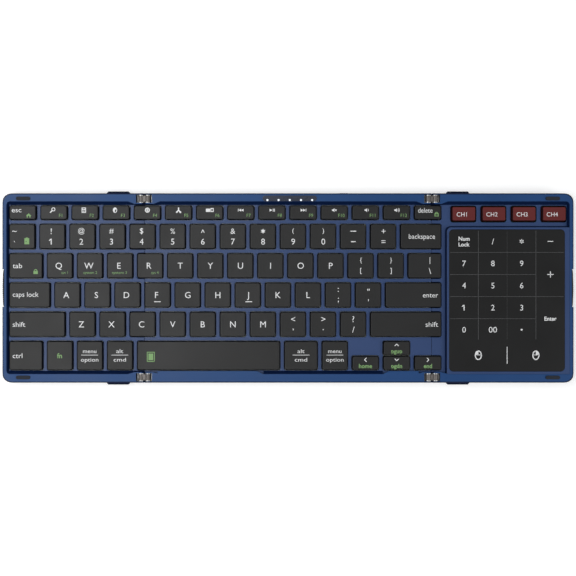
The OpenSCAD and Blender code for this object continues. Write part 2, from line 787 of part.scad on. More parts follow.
// One lifter: a ring tilted one way with a smaller ring inside it tilted the other way
scissor_l = 10.5;
scissor_w = 6.6;
lever_w = 0.8;
lever_t = 0.6;
lever_gap = 0.25;
lift = dome_h - 0.2;
lever_tilt = asin((lift - lever_t) / scissor_l);
module lever(l, w, tilt) {
    rotate([0, tilt, 0]) difference() {
        cube([l, w, lever_t], center = true);
        cube([l - 2 * lever_w, w - 2 * lever_w, lever_t + over], center = true);
    }
}
module scissors(list) {
    trim = 2 * (lever_w + lever_gap);
    for (b = list, x = scissor_xs(b))
        translate([x, (b[1] + b[3]) / 2, membrane_top + lift / 2 + 0.1]) {
            lever(scissor_l, scissor_w, lever_tilt);
            lever(scissor_l - trim, scissor_w - trim, -lever_tilt);
        }
}
module left_scissors() {
    color(silver) scissors(left_boxes);
}
module centre_scissors() {
    color(silver) scissors(centre_boxes);
}

// ---- Keys ----
module key(b, tint) {
    k = inset(b, key_gap);
    mid = [(k[0] + k[2]) / 2, (k[1] + k[3]) / 2];
    shoulder = key_top - key_bevel_h;
    color(tint) {
        difference() {
            intersection() {
                slab(key_z, key_h) polygon(round_box(k, key_r));
                translate([0, k[3], 0]) rotate([90, 0, 0]) linear_extrude(k[3] - k[1]) polygon([
                    [k[0], key_z], [k[2], key_z], [k[2], shoulder],
                    [k[2] - key_bevel_w, key_top], [k[0] + key_bevel_w, key_top], [k[0], shoulder]
                ]);
                translate([k[0], 0, 0]) rotate([90, 0, 90]) linear_extrude(k[2] - k[0]) polygon([
                    [k[1], key_z], [k[3], key_z], [k[3], shoulder],
                    [k[3] - key_bevel_w, key_top], [k[1] + key_bevel_w, key_top], [k[1], shoulder]
                ]);
            }
            slab(key_z - over, key_h - key_roof + over) box_2d(inset(k, key_wall));
        }
        for (x = tint == mode_red ? [mid[0]] : scissor_xs(b))
            translate([x - 1, mid[1] - 1, boss_z]) cube([2, 2, key_top - key_roof + seat - boss_z]);
    }
}
module keys(list, tint = key_grey) {
    for (b = list) key(b, tint);
}
module left_function_keys() {
    keys(boxes(0, 0, left_counts[0] - 1));
}
module left_number_keys() {
    keys(boxes(1, 0, left_counts[1] - 1));
}
module tab_key() {
    keys(boxes(2, 0, 0));
}
module left_upper_keys() {
    keys(boxes(2, 1, left_counts[2] - 1));
}
module caps_key() {
    keys(boxes(3, 0, 0));
}
module left_home_keys() {
    keys(boxes(3, 1, left_counts[3] - 1));
}
module left_shift_key() {
    keys(boxes(4, 0, 0));
}
module left_lower_keys() {
    keys(boxes(4, 1, left_counts[4] - 1));
}
module left_bottom_keys() {
    keys(boxes(5, 0, left_counts[5] - 1));
}
module centre_function_keys() {
    keys(boxes(0, left_counts[0], row_last[0]));
}
module centre_number_keys() {
    keys(boxes(1, left_counts[1], row_last[1] - 1));
}
module backspace_key() {
    keys(boxes(1, row_last[1], row_last[1]));
}
module centre_upper_keys() {
    keys(boxes(2, left_counts[2], row_last[2]));
}
module centre_home_keys() {
    keys(boxes(3, left_counts[3], row_last[3] - 1));
}
module enter_key() {
    keys(boxes(3, row_last[3], row_last[3]));
}
module centre_lower_keys() {
    keys(boxes(4, left_counts[4], row_last[4] - 1));
}
module right_shift_key() {
    keys(boxes(4, row_last[4], row_last[4]));
}
module space_bar() {
    keys(boxes(5, left_counts[5], left_counts[5]));
}
module right_bottom_keys() {
    keys(boxes(5, left_counts[5] + 1, first_arrow - 1));
}
module arrow_keys() {
    keys(arrow_boxes);
}
module mode_keys() {
    keys(mode_boxes, mode_red);
}

// ---- Hinges ----
// A bracket: two ears beside the link and a floor under it, side points away from the fold
module bracket(f, side, y) {
    pin_x = f + side * pin_pitch / 2;
    near = f + side * fold_gap / 2;
    far = f + side * (pocket_l - seat);
    floor_far = f + side * bracket_l;
    difference() {
        union() {
            translate([min(near, floor_far), y - ear_out, bracket_z])
                cube([abs(floor_far - near), 2 * ear_out, bracket_floor]);
            for (s = [-1, 1]) translate([0, y + s * (ear_in + ear_out) / 2, 0]) {
                translate([min(near, far), -ear_t / 2, bracket_z])
                    cube([abs(far - near), ear_t, pin_z - bracket_z]);
                translate([pin_x, 0, pin_z]) rotate([90, 0, 0])
                    cylinder(h = ear_t, r = roll_r - 0.1, center = true);
            }
        }
        translate([pin_x, y, pin_z]) rotate([90, 0, 0])
            cylinder(h = pin_l + over, r = pin_r + pin_gap, center = true);
    }
}
module left_brackets() {
    color(steel) for (s = [-1, 1]) bracket(fold_x[0], -1, s * hinge_y);
}
module centre_brackets() {
    color(steel) for (s = [-1, 1]) {
        bracket(fold_x[0], 1, s * hinge_y);
        bracket(fold_x[1], -1, s * hinge_y);
    }
}
module right_brackets() {
    color(steel) for (s = [-1, 1]) bracket(fold_x[1], 1, s * hinge_y);
}
module link(f, y) {
    translate([f, y, pin_z]) rotate([90, 0, 0]) difference() {
        union() {
            cube([pin_pitch, 2 * link_r, link_w], center = true);
            for (s = [-1, 1]) translate([s * pin_pitch / 2, 0, 0])
                cylinder(h = link_w, r = link_r, center = true);
        }
        for (s = [-1, 1]) translate([s * pin_pitch / 2, 0, 0])
            cylinder(h = link_w + over, r = pin_r + press_gap, center = true);
    }
}
module pins(f) {
    for (y = [-1, 1], s = [-1, 1])
        translate([f + s * pin_pitch / 2, y * hinge_y, pin_z]) rotate([90, 0, 0])
            cylinder(h = pin_l, r = pin_r, center = true);
}
module left_links() {
    color(silver) for (s = [-1, 1]) link(fold_x[0], s * hinge_y);
}
module right_links() {
    color(silver) for (s = [-1, 1]) link(fold_x[1], s * hinge_y);
}
module left_pins() {
    color(steel) pins(fold_x[0]);
}
module right_pins() {
    color(steel) pins(fold_x[1]);
}

// ---- Touch pad, boards, battery, ports ----
module pad_glass() {
    color(pad_black) slab(pad_top - pad_t, pad_t) polygon(round_box(pad_box, pad_r));
}
module wing_board() {
    color(board_green) {
        translate([pad_x0 + 1, wing_board_y0, wing_board_z]) cube([pad_w - 2, wing_board_d, board_t]);
        for (b = mode_boxes) {
            x = min((b[0] + b[2]) / 2, pad_x1 - 3);
            translate([x - 1.8, mode_y - 1.8, wing_board_top - seat])
                cube([3.6, 3.6, boss_z - key_travel - 0.1 - wing_board_top + seat]);
        }
    }
}
module battery() {
    color(silver) translate([(pad_x0 + pad_x1 - battery_w) / 2, pad_y0 + 3, floor_z + 0.1])
        cube([battery_w, min(battery_d, wing_board_y0 - pad_y0 - 4), battery_t]);
}
module main_board() {
    color(board_green) {
        translate([board_x0, board_y1 - board_d, board_z]) cube([board_x1 - board_x0, board_d, board_t]);
        translate([switch_x - 4, switch_body_y, board_top - seat])
            cube([10, board_y1 - switch_body_y, switch_z + switch_h - board_top]);
    }
}
module charging_socket() {
    color(silver) translate([socket_x, y_end - 0.2 - socket_d, board_top + socket_h / 2]) {
        difference() {
            translate([-socket_w / 2, 0, -socket_h / 2]) cube([socket_w, socket_d, socket_h]);
            translate([-socket_w / 2 + socket_wall, over, -socket_h / 2 + socket_wall])
                cube([socket_w - 2 * socket_wall, socket_d, socket_h - 2 * socket_wall]);
        }
        translate([-socket_w / 4 - over, over / 2, -socket_tongue / 2])
            cube([socket_w / 2 + 2 * over, socket_d - 2 * over, socket_tongue]);
    }
}
module power_switch() {
    color(rubber_black) translate([switch_x - switch_l / 2, rear_in - 0.2, switch_z])
        cube([switch_l, rear_rail_w + 0.2 + switch_out, switch_h]);
}
module window_solid(gap) {
    r = window_w / 2 + gap;
    first = window_x - (pipe_count - 1) * pipe_pitch / 2;
    h = window_t + (gap > 0 ? over : 0);
    translate([window_x, window_y, rail_top - window_t - gap]) {
        translate([-(window_l - window_w) / 2, -r, 0]) cube([window_l - window_w, 2 * r, h]);
        for (e = [-1, 1]) translate([e * (window_l - window_w) / 2, 0, 0]) cylinder(h = h, r = r);
    }
    pipe_z = rail_top - window_t - pipe_l - gap;
    for (i = [0:pipe_count - 1])
        post(first + i * pipe_pitch, window_y - pipe_shift, pipe_z, rail_top - window_t / 2, pipe_r + gap);
}
module status_window() {
    color(pad_black) window_solid(0);
}

// ---- Bumpers, grips, feet and screws ----
module left_bumpers() {
    color(rubber_black) bumper(-1, rail_top - bumper_pocket + seat, bumper_pocket + bumper_h - seat, 0);
}
module right_bumpers() {
    color(rubber_black) bumper(1, rail_top - bumper_pocket + seat, bumper_pocket + bumper_h - seat, 0);
}
module grip(side) {
    deep = 4;
    face = side * (x_end + grip_bulge);
    floor_x = side * (x_end - grip_notch + seat);
    intersection() {
        translate([face - side * grip_r, 0, grip_z]) cylinder(h = grip_h, r = grip_r, $fn = 1440);
        slab(grip_z, grip_h) polygon(round_box(
            [min(face, face - side * deep), -grip_l / 2, max(face, face - side * deep), grip_l / 2],
            grip_end_r, 5
        ));
        translate([side > 0 ? floor_x : floor_x - deep, -grip_l / 2, grip_z])
            cube([deep, grip_l, grip_h]);
    }
}
module left_grip() {
    color(rubber_black) grip(-1);
}
module right_grip() {
    color(rubber_black) grip(1);
}
module feet(xs) {
    half = [foot_l / 2, foot_w / 2];
    for (x = xs, y = [-foot_y, foot_y])
        slab(0, foot_h)
            polygon(round_box([x - half[0], y - half[1], x + half[0], y + half[1]], foot_w / 2 - seat));
}
function wing_foot_x(side) =
    [fold_of(side) + side * (foot_end + foot_l / 2), side * (x_end - foot_end - foot_l / 2)];
module left_feet() {
    color(rubber_black) feet(wing_foot_x(-1));
}
module right_feet() {
    color(rubber_black) feet(wing_foot_x(1));
}
module centre_feet() {
    color(rubber_black) feet([fold_x[0] + foot_end + foot_l / 2, fold_x[1] - foot_end - foot_l / 2]);
}
module screws(xs) {
    for (x = xs, s = [-1, 1]) {
        post(x, s * screw_y, base_z, base_z + screw_head_h, screw_head_r);
        post(x, s * screw_y, base_z, screw_tip, screw_r);
    }
}
module left_screws() {
    color(steel) screws(wing_screw_x(-1));
}
module centre_screws() {
    color(steel) screws(centre_screw_x);
}
module right_screws() {
    color(steel) screws(wing_screw_x(1));
}

left_rails();
left_deck();
left_base();
left_plate();
left_membrane();
left_scissors();
left_brackets();
left_bumpers();
left_grip();
left_feet();
left_screws();
left_function_keys();
left_number_keys();
tab_key();
left_upper_keys();
caps_key();
left_home_keys();
left_shift_key();
left_lower_keys();
left_bottom_keys();
centre_rails();
centre_deck();
centre_base();
centre_plate();
centre_membrane();
centre_scissors();
centre_brackets();
centre_feet();
centre_screws();
status_window();
main_board();
charging_socket();
power_switch();
centre_function_keys();
centre_number_keys();
backspace_key();
centre_upper_keys();
centre_home_keys();
enter_key();
centre_lower_keys();
right_shift_key();
space_bar();
right_bottom_keys();
arrow_keys();
right_rails();
right_deck();
right_base();
pad_glass();
wing_board();
battery();
mode_keys();
right_brackets();
right_bumpers();
right_grip();
right_feet();
right_screws();
left_links();
left_pins();
right_links();
right_pins();
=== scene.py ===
"""A folding keyboard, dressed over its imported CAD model.

Lengths are in millimetres and turned to metres by MM.
"""

import json
import math

import bmesh
import bpy
from mathutils import Matrix, Vector
from mathutils.bvhtree import BVHTree


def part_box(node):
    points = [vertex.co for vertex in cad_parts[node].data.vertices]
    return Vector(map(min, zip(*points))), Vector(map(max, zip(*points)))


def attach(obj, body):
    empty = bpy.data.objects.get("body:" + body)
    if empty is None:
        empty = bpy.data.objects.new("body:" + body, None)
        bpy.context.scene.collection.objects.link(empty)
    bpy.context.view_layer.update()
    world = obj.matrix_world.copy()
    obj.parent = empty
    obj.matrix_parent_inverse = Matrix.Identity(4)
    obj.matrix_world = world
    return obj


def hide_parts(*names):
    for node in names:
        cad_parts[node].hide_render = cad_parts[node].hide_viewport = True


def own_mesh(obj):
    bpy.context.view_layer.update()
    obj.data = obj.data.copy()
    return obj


MM = 0.001
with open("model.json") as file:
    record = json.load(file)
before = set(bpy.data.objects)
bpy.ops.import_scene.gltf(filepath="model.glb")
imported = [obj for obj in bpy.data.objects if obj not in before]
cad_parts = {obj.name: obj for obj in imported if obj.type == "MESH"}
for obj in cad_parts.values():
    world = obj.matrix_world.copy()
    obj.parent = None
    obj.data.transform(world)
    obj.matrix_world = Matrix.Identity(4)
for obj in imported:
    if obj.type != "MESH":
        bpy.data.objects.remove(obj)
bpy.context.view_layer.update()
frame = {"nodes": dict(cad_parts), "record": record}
NODES = frame["nodes"]
BODY_OF = {node: body for body, nodes in frame["record"]["behaviour"]["bodies"].items() for node in nodes}
SLOT_OF = {part["node"]: part["material_slot"] for part in frame["record"]["subparts"]}
KEY_NODES = [n for n in NODES if n.endswith(("_keys", "_key")) or n == "space_bar"]

# ---- Camera: straight above, as far off as the photograph's framing needs ----
LENS = 50
SENSOR = 36
PHOTO_SIZE = 576
MM_PER_PX = 0.6309
KEY_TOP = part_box("enter_key")[1].z / MM
CAMERA_RISE = MM_PER_PX * PHOTO_SIZE * LENS / SENSOR


def add_object(name, data):
    obj = bpy.data.objects.new(name, data)
    bpy.context.scene.collection.objects.link(obj)
    return obj


def make_camera():
    data = bpy.data.cameras.new("camera")
    data.lens = LENS
    data.sensor_width = SENSOR
    data.clip_start = 0.01
    camera = add_object("camera", data)
    camera.location = (0, 0, (KEY_TOP + CAMERA_RISE) * MM)
    bpy.context.scene.camera = camera


# ---- Materials ----
def srgb(r, g, b):
    """A colour given in 0..255 screen values, as Blender's linear colour."""
    return tuple(((v / 255 + 0.055) / 1.055) ** 2.4 if v > 10 else v / 255 / 12.92 for v in (r, g, b)) + (1,)


def scaled(colour, k):
    return tuple(min(1, c * k) for c in colour[:3]) + (1,)


# The body's outline from above: the radius and the middles of its rounded corners, and the width and blur of the
# painted shade along its outer edge
RIM_R, EDGE_SHADE_WIDE, EDGE_SHADE_BLUR = 6, 0.75, 0.1
RIM_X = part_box("right_rails")[1].x / MM - RIM_R
RIM_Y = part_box("right_rails")[1].y / MM - RIM_R


class Nodes:
    """A short way to write the nodes of a material or the world."""

    def __init__(self, owner, shader="Principled BSDF"):
        owner.use_nodes = True
        self.tree = owner.node_tree
        self.shader = self.tree.nodes[shader]
        self.texture = self.add("ShaderNodeTexCoord")
        self.place = self.texture.outputs["Object"]

    def add(self, kind, **inputs):
        node = self.tree.nodes.new(kind)
        for key, value in inputs.items():
            self.feed(node.inputs[key.replace("_", " ")], value)
        return node

    def feed(self, socket, value):
        if isinstance(value, bpy.types.NodeSocket):
            self.tree.links.new(value, socket)
        else:
            socket.default_value = value

    def noise(self, scale, detail, stretch=None):
        place = self.place
        if stretch:
            place = self.add("ShaderNodeMapping", Vector=place, Scale=stretch).outputs["Vector"]
        return self.add("ShaderNodeTexNoise", Vector=place, Scale=scale, Detail=detail).outputs["Fac"]

    def ramp(self, fac, stops):
        """A colour ramp through (position, colour) stops."""
        node = self.add("ShaderNodeValToRGB", Fac=fac)
        elements = node.color_ramp.elements
        while len(elements) < len(stops):
            elements.new(0.5)
        for element, (position, colour) in zip(elements, stops):
            element.position = position
            element.color = colour
        return node.outputs["Color"]

    def between(self, fac, low, high, fac_low=0.3, fac_high=0.7):
        """A number that runs from low to high as fac goes from fac_low to fac_high."""
        ends = {"From_Min": fac_low, "From_Max": fac_high, "To_Min": low, "To_Max": high}
        return self.add("ShaderNodeMapRange", Value=fac, **ends).outputs["Result"]

    def wall_shade(self, side, wall):
        """Painted shade on walls: 1 where the surface faces up or down in its own frame, and side where it leans
        past wall.
        """
        split = self.add("ShaderNodeSeparateXYZ", Vector=self.texture.outputs["Normal"])
        return self.between(self.number("ABSOLUTE", split.outputs["Z"]), side, 1.0, wall, 0.97)

    def maths(self, kind, operation, values):
        """The outputs of a node that works on numbers or vectors."""
        node = self.add(kind)
        node.operation = operation
        for socket, value in zip(node.inputs, values):
            self.feed(socket, value)
        return node.outputs

    def number(self, operation, *values):
        return self.maths("ShaderNodeMath", operation, values)["Value"]

    def vector(self, operation, *values):
        return self.maths("ShaderNodeVectorMath", operation, values)["Vector"]

    def shaded(self, colour, fac):
        scale = self.add("ShaderNodeVectorMath", Vector=colour)
        scale.operation = "SCALE"
        self.feed(scale.inputs["Scale"], fac)
        return scale.outputs["Vector"]

    def edge_shade(self, dark):
        """Painted shade along the body's outer edge: 1 within its outline from above, and dark along the edge."""
        corner = self.vector("SUBTRACT", self.vector("ABSOLUTE", self.place), (RIM_X * MM, RIM_Y * MM, 1))
        past = self.vector("MAXIMUM", corner, (0, 0, 0))
        far = self.maths("ShaderNodeVectorMath", "LENGTH", [past])["Value"]
        edge = RIM_R - EDGE_SHADE_WIDE
        return self.between(far, 1.0, dark, (edge - EDGE_SHADE_BLUR) * MM, (edge + EDGE_SHADE_BLUR) * MM)

    def bump(self, height, strength, distance_mm):
        node = self.add("ShaderNodeBump", Height=height, Strength=strength, Distance=distance_mm * MM)
        self.feed(self.shader.inputs["Normal"], node.outputs["Normal"])

    def set(self, **inputs):
        for key, value in inputs.items():
            self.feed(self.shader.inputs[key.replace("_", " ")], value)


def satin(name, colour, rough, mottle, grain, bump, specular, metallic=0, stretch=None, side=1, wall=0.55, edge_shade=1):
    """A moulded, painted or coated surface with uneven colour and gloss and a fine grain.

    Walls get painted shade, darker by side, and the body's outer edge a band of painted shade.
    """
    material = bpy.data.materials.new(name)
    m = Nodes(material)
    colour = srgb(*colour)
    cloud = m.noise(38, 5)
    fine = m.noise(grain, 2, stretch)
    paint = m.ramp(cloud, [(0.3, scaled(colour, 1 - mottle)), (0.7, scaled(colour, 1 + mottle))])
    # painted shade on the walls
    if side < 1:
        paint = m.shaded(paint, m.wall_shade(side, wall))
    # painted shade along the body's outer edge
    if edge_shade < 1:
        paint = m.shaded(paint, m.edge_shade(edge_shade))
    m.set(
        Base_Color=paint,
        Roughness=m.between(cloud, rough - 0.05, rough + 0.05),
        Specular_IOR_Level=specular,
        Metallic=metallic,
    )
    m.bump(fine, bump, 0.03)
    return material


def brushed(name, colour, rough, stretch, grain):
    """Bare metal with fine marks along its longest stretch."""
    material = bpy.data.materials.new(name)
    m = Nodes(material)
    colour = srgb(*colour)
    lines = m.noise(grain, 6, stretch)
    m.set(
        Base_Color=m.ramp(lines, [(0.25, scaled(colour, 0.8)), (0.75, scaled(colour, 1.12))]),
        Roughness=m.between(lines, rough - 0.1, rough + 0.12),
        Metallic=1.0,
    )
    m.bump(lines, 0.2, 0.02)
    return material


# Each satin finish: its colour on screen, roughness, mottle, grain, bump and specular level
SATINS = {
    "rail_blue": ((28, 72, 127), 0.48, 0.05, 1500, 0.18, 0.35),
    "deck_blue": ((36, 66, 116), 0.5, 0.05, 2200, 0.25, 0.57),
    "base_navy": ((8, 20, 48), 0.55, 0.08, 1800, 0.5, 0.2),
    # a dark navy of painted shade, for the slopes of the rails, their inner bezels and the line at the foot of
    # the pad's frame
    "shade_navy": ((6, 28, 66), 0.6, 0.05, 1800, 0.2, 0.12),
    "key_black": ((37, 37, 37), 0.48, 0.05, 2600, 0.3, 0.35),
    "mode_red": ((108, 45, 45), 0.5, 0.05, 2600, 0.3, 0.2),
    "pad_black": ((35, 35, 35), 0.4, 0.04, 3200, 0.1, 0.25),
    "rubber": ((40, 45, 55), 0.72, 0.1, 1400, 0.5, 0.3),
    "film": ((176, 180, 170), 0.3, 0.05, 600, 0.1, 0.5),
    "scissor_white": ((196, 196, 190), 0.45, 0.03, 1800, 0.2, 0.5),
    "board_green": ((24, 84, 50), 0.35, 0.12, 900, 0.3, 0.5),
    "switch_black": ((26, 27, 30), 0.45, 0.05, 2600, 0.3, 0.4),
    "window_black": ((58, 63, 78), 0.3, 0.03, 900, 0.02, 0.3),
    "link_metal": ((116, 111, 108), 0.45, 0.12, 400, 0.3, 0.5),
    "legend_white": ((248, 249, 249), 0.5, 0.02, 3000, 0.1, 0.3),
    "legend_green": ((136, 178, 116), 0.5, 0.03, 3000, 0.1, 0.3),
    "pad_line": ((96, 97, 98), 0.5, 0.05, 3000, 0.1, 0.3),
}
# What some of them have besides: painted shade on their walls and along the body's outer edge, metal and a
# stretched grain
EXTRAS = {
    "rail_blue": {"side": 0.16, "wall": 0.8, "edge_shade": 0.12},
    "deck_blue": {"side": 0.3},
    "key_black": {"side": 0.3},
    "mode_red": {"side": 0.2},
    "rubber": {"side": 0.15},
    "link_metal": {"metallic": 0.35, "stretch": (60, 4, 60)},
}
# Each bare metal: its colour on screen, roughness, and the stretch and scale of its marks
METALS = {
    "steel": ((196, 197, 196), 0.34, (4, 60, 60), 60),
    "battery_silver": ((170, 173, 178), 0.42, (30, 30, 8), 30),
    "contact_gold": ((214, 176, 96), 0.3, (4, 60, 60), 60),
}


def make_materials():
    """The finish of each material slot of the record, and of the print."""
    made = {name: satin(name, *values, **EXTRAS.get(name, {})) for name, values in SATINS.items()}
    made.update({name: brushed(name, *values) for name, values in METALS.items()})
    made["light_pipe"] = bpy.data.materials.new("light_pipe")
    light = Nodes(made["light_pipe"])
    light.set(Base_Color=srgb(232, 236, 240), Roughness=0.3, Emission_Color=srgb(232, 240, 250))
    light.set(Emission_Strength=0.6, Subsurface_Weight=0.1)
    return made


MATERIALS = make_materials()


# ---- Mesh helpers ----
def new_piece(name, bm, *slots, smooth=False):
    """A mesh object in millimetres from a bmesh, with the finishes named."""
    mesh = bpy.data.meshes.new(name)
    bmesh.ops.recalc_face_normals(bm, faces=bm.faces)
    bmesh.ops.transform(bm, matrix=Matrix.Scale(MM, 4), verts=bm.verts)
    bm.to_mesh(mesh)
    bm.free()
    for s in slots:
        mesh.materials.append(MATERIALS[s])
    for polygon in mesh.polygons:
        polygon.use_smooth = smooth
    return add_object(name, mesh)


def replacement(node, ending, bm, *slots, smooth=False):
    """A piece that takes the place of a CAD node, with its finish and any others named."""
    obj = new_piece(f"{node}_{ending}", bm, SLOT_OF[node], *slots, smooth=smooth)
    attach(obj, BODY_OF[node])
    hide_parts(node)
    return obj


# Edges sharper than this many degrees are rounded
SHARP = 28


def soften(obj, width, smooth):
    """Rounds an object's edges, and keeps its flats flat."""
    weld = obj.modifiers.new("weld", "WELD")
    weld.merge_threshold = 0.002 * MM
    bevel = obj.modifiers.new("bevel", "BEVEL")
    bevel.width = width * MM
    bevel.segments = 2
    bevel.limit_method = "ANGLE"
    bevel.angle_limit = math.radians(SHARP)
    bevel.use_clamp_overlap = True
    bevel.miter_outer = "MITER_ARC"
    if smooth:
        normals = obj.modifiers.new("normals", "WEIGHTED_NORMAL")
        normals.keep_sharp = False
    for polygon in obj.data.polygons:
        polygon.use_smooth = smooth


def solids(node):
    """The box of each separate solid of a CAD node, in millimetres, from left to right."""
    mesh = NODES[node].data
    points = [tuple(round(c / MM, 3) for c in v.co) for v in mesh.vertices]
    parent = {p: p for p in points}

    def root(p):
        while parent[p] != p:
            parent[p] = parent[parent[p]]
            p = parent[p]
        return p

    for edge in mesh.edges:
        a, b = (root(points[i]) for i in edge.vertices)
        parent[a] = b
    groups = {}
    for p in parent:
        groups.setdefault(root(p), []).append(p)
    boxes = [
        tuple(min(p[k] for p in g) for k in range(3)) + tuple(max(p[k] for p in g) for k in range(3))
        for g in groups.values()
    ]
    return sorted(boxes, key=lambda b: (round(b[0] + b[3]), b[1]))


def round_loop(x0, y0, x1, y1, radii, steps=5):
    """Points round a rectangle, anticlockwise from its right back corner, as the four radii are."""
    limit = min(x1 - x0, y1 - y0) / 2
    corners = [(x1, y1, -1, -1, 0), (x0, y1, 1, -1, 90), (x0, y0, 1, 1, 180), (x1, y0, -1, 1, 270)]
    points = []
    for (x, y, sx, sy, start), radius in zip(corners, radii):
        r = min(radius, limit)
        for i in range(steps + 1):
            a = math.radians(start + 90 * i / steps)
            points.append((x + sx * r + r * math.cos(a), y + sy * r + r * math.sin(a)))
    return points


def add_loop(bm, points, z):
    """A ring of vertices, where z is a height or a function of x and y."""
    return [bm.verts.new((x, y, z(x, y) if callable(z) else z)) for x, y in points]


def bridge(bm, a, b, material=0):
    for i in range(len(a)):
        j = (i + 1) % len(a)
        face = bm.faces.new((a[i], a[j], b[j], b[i]))
        face.material_index = material


def cap(bm, ring, material=0):
    bm.faces.new(ring).material_index = material


def skin(bm, loops, material=0, bottom=True, top=True):
    """Walls from each ring to the next, with the first and the last closed if asked."""
    for a, b in zip(loops, loops[1:]):
        bridge(bm, a, b, material)
    if bottom:
        cap(bm, loops[0][::-1], material)
    if top:
        cap(bm, loops[-1], material)


def rectangle(x0, y0, x1, y1):
    return [(x0, y0), (x1, y0), (x1, y1), (x0, y1)]


def circle(x, y, r, step):
    """Points on a circle, one every step degrees."""
    turns = [math.radians(a) for a in range(0, 360, step)]
    return [(x + r * math.cos(t), y + r * math.sin(t)) for t in turns]


def turned(points, x, y, degrees):
    """Points turned about their origin, which is then moved to x and y."""
    c, s = math.cos(math.radians(degrees)), math.sin(math.radians(degrees))
    return [(x + px * c - py * s, y + px * s + py * c) for px, py in points]


def fillet(inset, z, r, steps=4):
    """Rings of (inset, z) that turn a wall over to the flat on top of it."""
    quarter = [math.radians(90 * i / steps) for i in range(steps + 1)]
    return [(inset + r * (1 - math.cos(a)), z - r * (1 - math.sin(a))) for a in quarter]


# ---- Keys ----
KEY_CORNER = 1.4
KEY_FILLET = 0.34
KEY_TAPER = 0.28
MODE_TAPER = 0.6
KEY_DISH = 0.13
KEY_WALL = 0.8
KEY_ROOF = 1.0
# Height of a key's upright skirt, and the chamfer at its foot
SKIRT, SKIRT_FOOT = 0.9, 0.12
# Keys that reach over the right fold have nearly square right ends
SQUARE_CORNER = 0.45
BLOCK_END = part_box("backspace_key")[1].x / MM
FUNCTION_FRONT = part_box("centre_function_keys")[0].y / MM
FOLDS = [(low.x + high.x) / 2 / MM for low, high in (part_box("left_links"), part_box("right_links"))]
# Insets of the rings across a key's top, from its edge inwards
TOP_INSETS = (0.4, 0.9, 1.6, 2.5, 3.4)


def key_cap(bm, box, taper):
    """One hollow keycap: upright skirt with a slight taper, rounded top edge and a shallow dish."""
    x0, y0, z0, x1, y1, z1 = box
    at_fold = abs(x1 - BLOCK_END) < 0.1 and y1 < FUNCTION_FRONT
    right = SQUARE_CORNER if at_fold else KEY_CORNER
    radii = (right, KEY_CORNER, KEY_CORNER, right)
    half = min(x1 - x0, y1 - y0) / 2

    def outline(inset):
        return round_loop(x0 + inset, y0 + inset, x1 - inset, y1 - inset, [max(0.15, r - inset) for r in radii])

    def surface(x, y):
        across = min(1, abs(2 * x - x0 - x1) / (x1 - x0 - 2 * taper))
        along = min(1, abs(2 * y - y0 - y1) / (y1 - y0 - 2 * taper))
        return z1 - KEY_DISH * (1 - across**4) * (1 - along**2)

    foot = [(KEY_WALL, z0), (SKIRT_FOOT, z0), (0, z0 + SKIRT_FOOT)]
    wall = [(0, z0 + SKIRT), (taper, z1 - KEY_FILLET)]
    loops = [add_loop(bm, outline(i), z) for i, z in foot + wall + fillet(taper, z1, KEY_FILLET)[1:-1]]
    edge = taper + KEY_FILLET
    for inset in (0,) + TOP_INSETS:
        if edge + inset < half - 0.3:
            loops.append(add_loop(bm, outline(edge + inset), surface))
    skin(bm, loops, bottom=False)
    # hollow inside
    roof = add_loop(bm, outline(KEY_WALL), z1 - KEY_ROOF)
    bridge(bm, roof, loops[0])
    cap(bm, roof[::-1])


def make_keys(node):
    bm = bmesh.new()
    for box in solids(node):
        key_cap(bm, box, MODE_TAPER if node == "mode_keys" else KEY_TAPER)
    return replacement(node, "caps", bm, smooth=True)


# Top of the switch film
SHEET_TOP = 4.85


def make_lifters(node):
    """Rubber domes and lifters: a CAD node's mesh, cut up by key group.

    What stands under a key is a piece of its own, with a mesh of its own.
    """
    mesh = NODES[node].data
    places = [(key, box) for key in KEY_NODES for box in solids(key)]
    groups = {}
    for polygon in mesh.polygons:
        x, y, z = polygon.center / MM
        under = [key for key, box in places if box[0] < x < box[3] and box[1] < y < box[4]]
        stands = under and z > SHEET_TOP + 0.01
        groups.setdefault(under[0] if stands else None, []).append(polygon)
    for key, polygons in groups.items():
        bm = bmesh.new()
        made = {}
        for polygon in polygons:
            for i in polygon.vertices:
                if i not in made:
                    made[i] = bm.verts.new(mesh.vertices[i].co / MM)
            bm.faces.new([made[i] for i in polygon.vertices])
        bmesh.ops.remove_doubles(bm, verts=bm.verts, dist=0.002)
        obj = replacement(node, key or "sheet", bm)
        if key:
            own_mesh(obj)


# ---- Print on the keys ----
def text_outline(text, weight=0.0):
    """Vertices and faces of a flat text at size 1, its origin at the left of the base line."""
    curve = bpy.data.curves.new("text", "FONT")
    curve.body = text
    curve.resolution_u = 3
    curve.offset = weight
    obj = add_object("text", curve)
    mesh = obj.evaluated_get(bpy.context.evaluated_depsgraph_get()).to_mesh()
    found = [v.co.copy() for v in mesh.vertices], [tuple(p.vertices) for p in mesh.polygons]
    bpy.data.objects.remove(obj)
    bpy.data.curves.remove(curve)
    return found


def letter_height():
    """Height of a capital letter of Blender's own font at size 1."""
    rises = [point.y for point in text_outline("H")[0]]
    return max(rises) - min(rises)


WHITE, GREEN, GREY = 0, 1, 2
CAP_UNIT = letter_height()


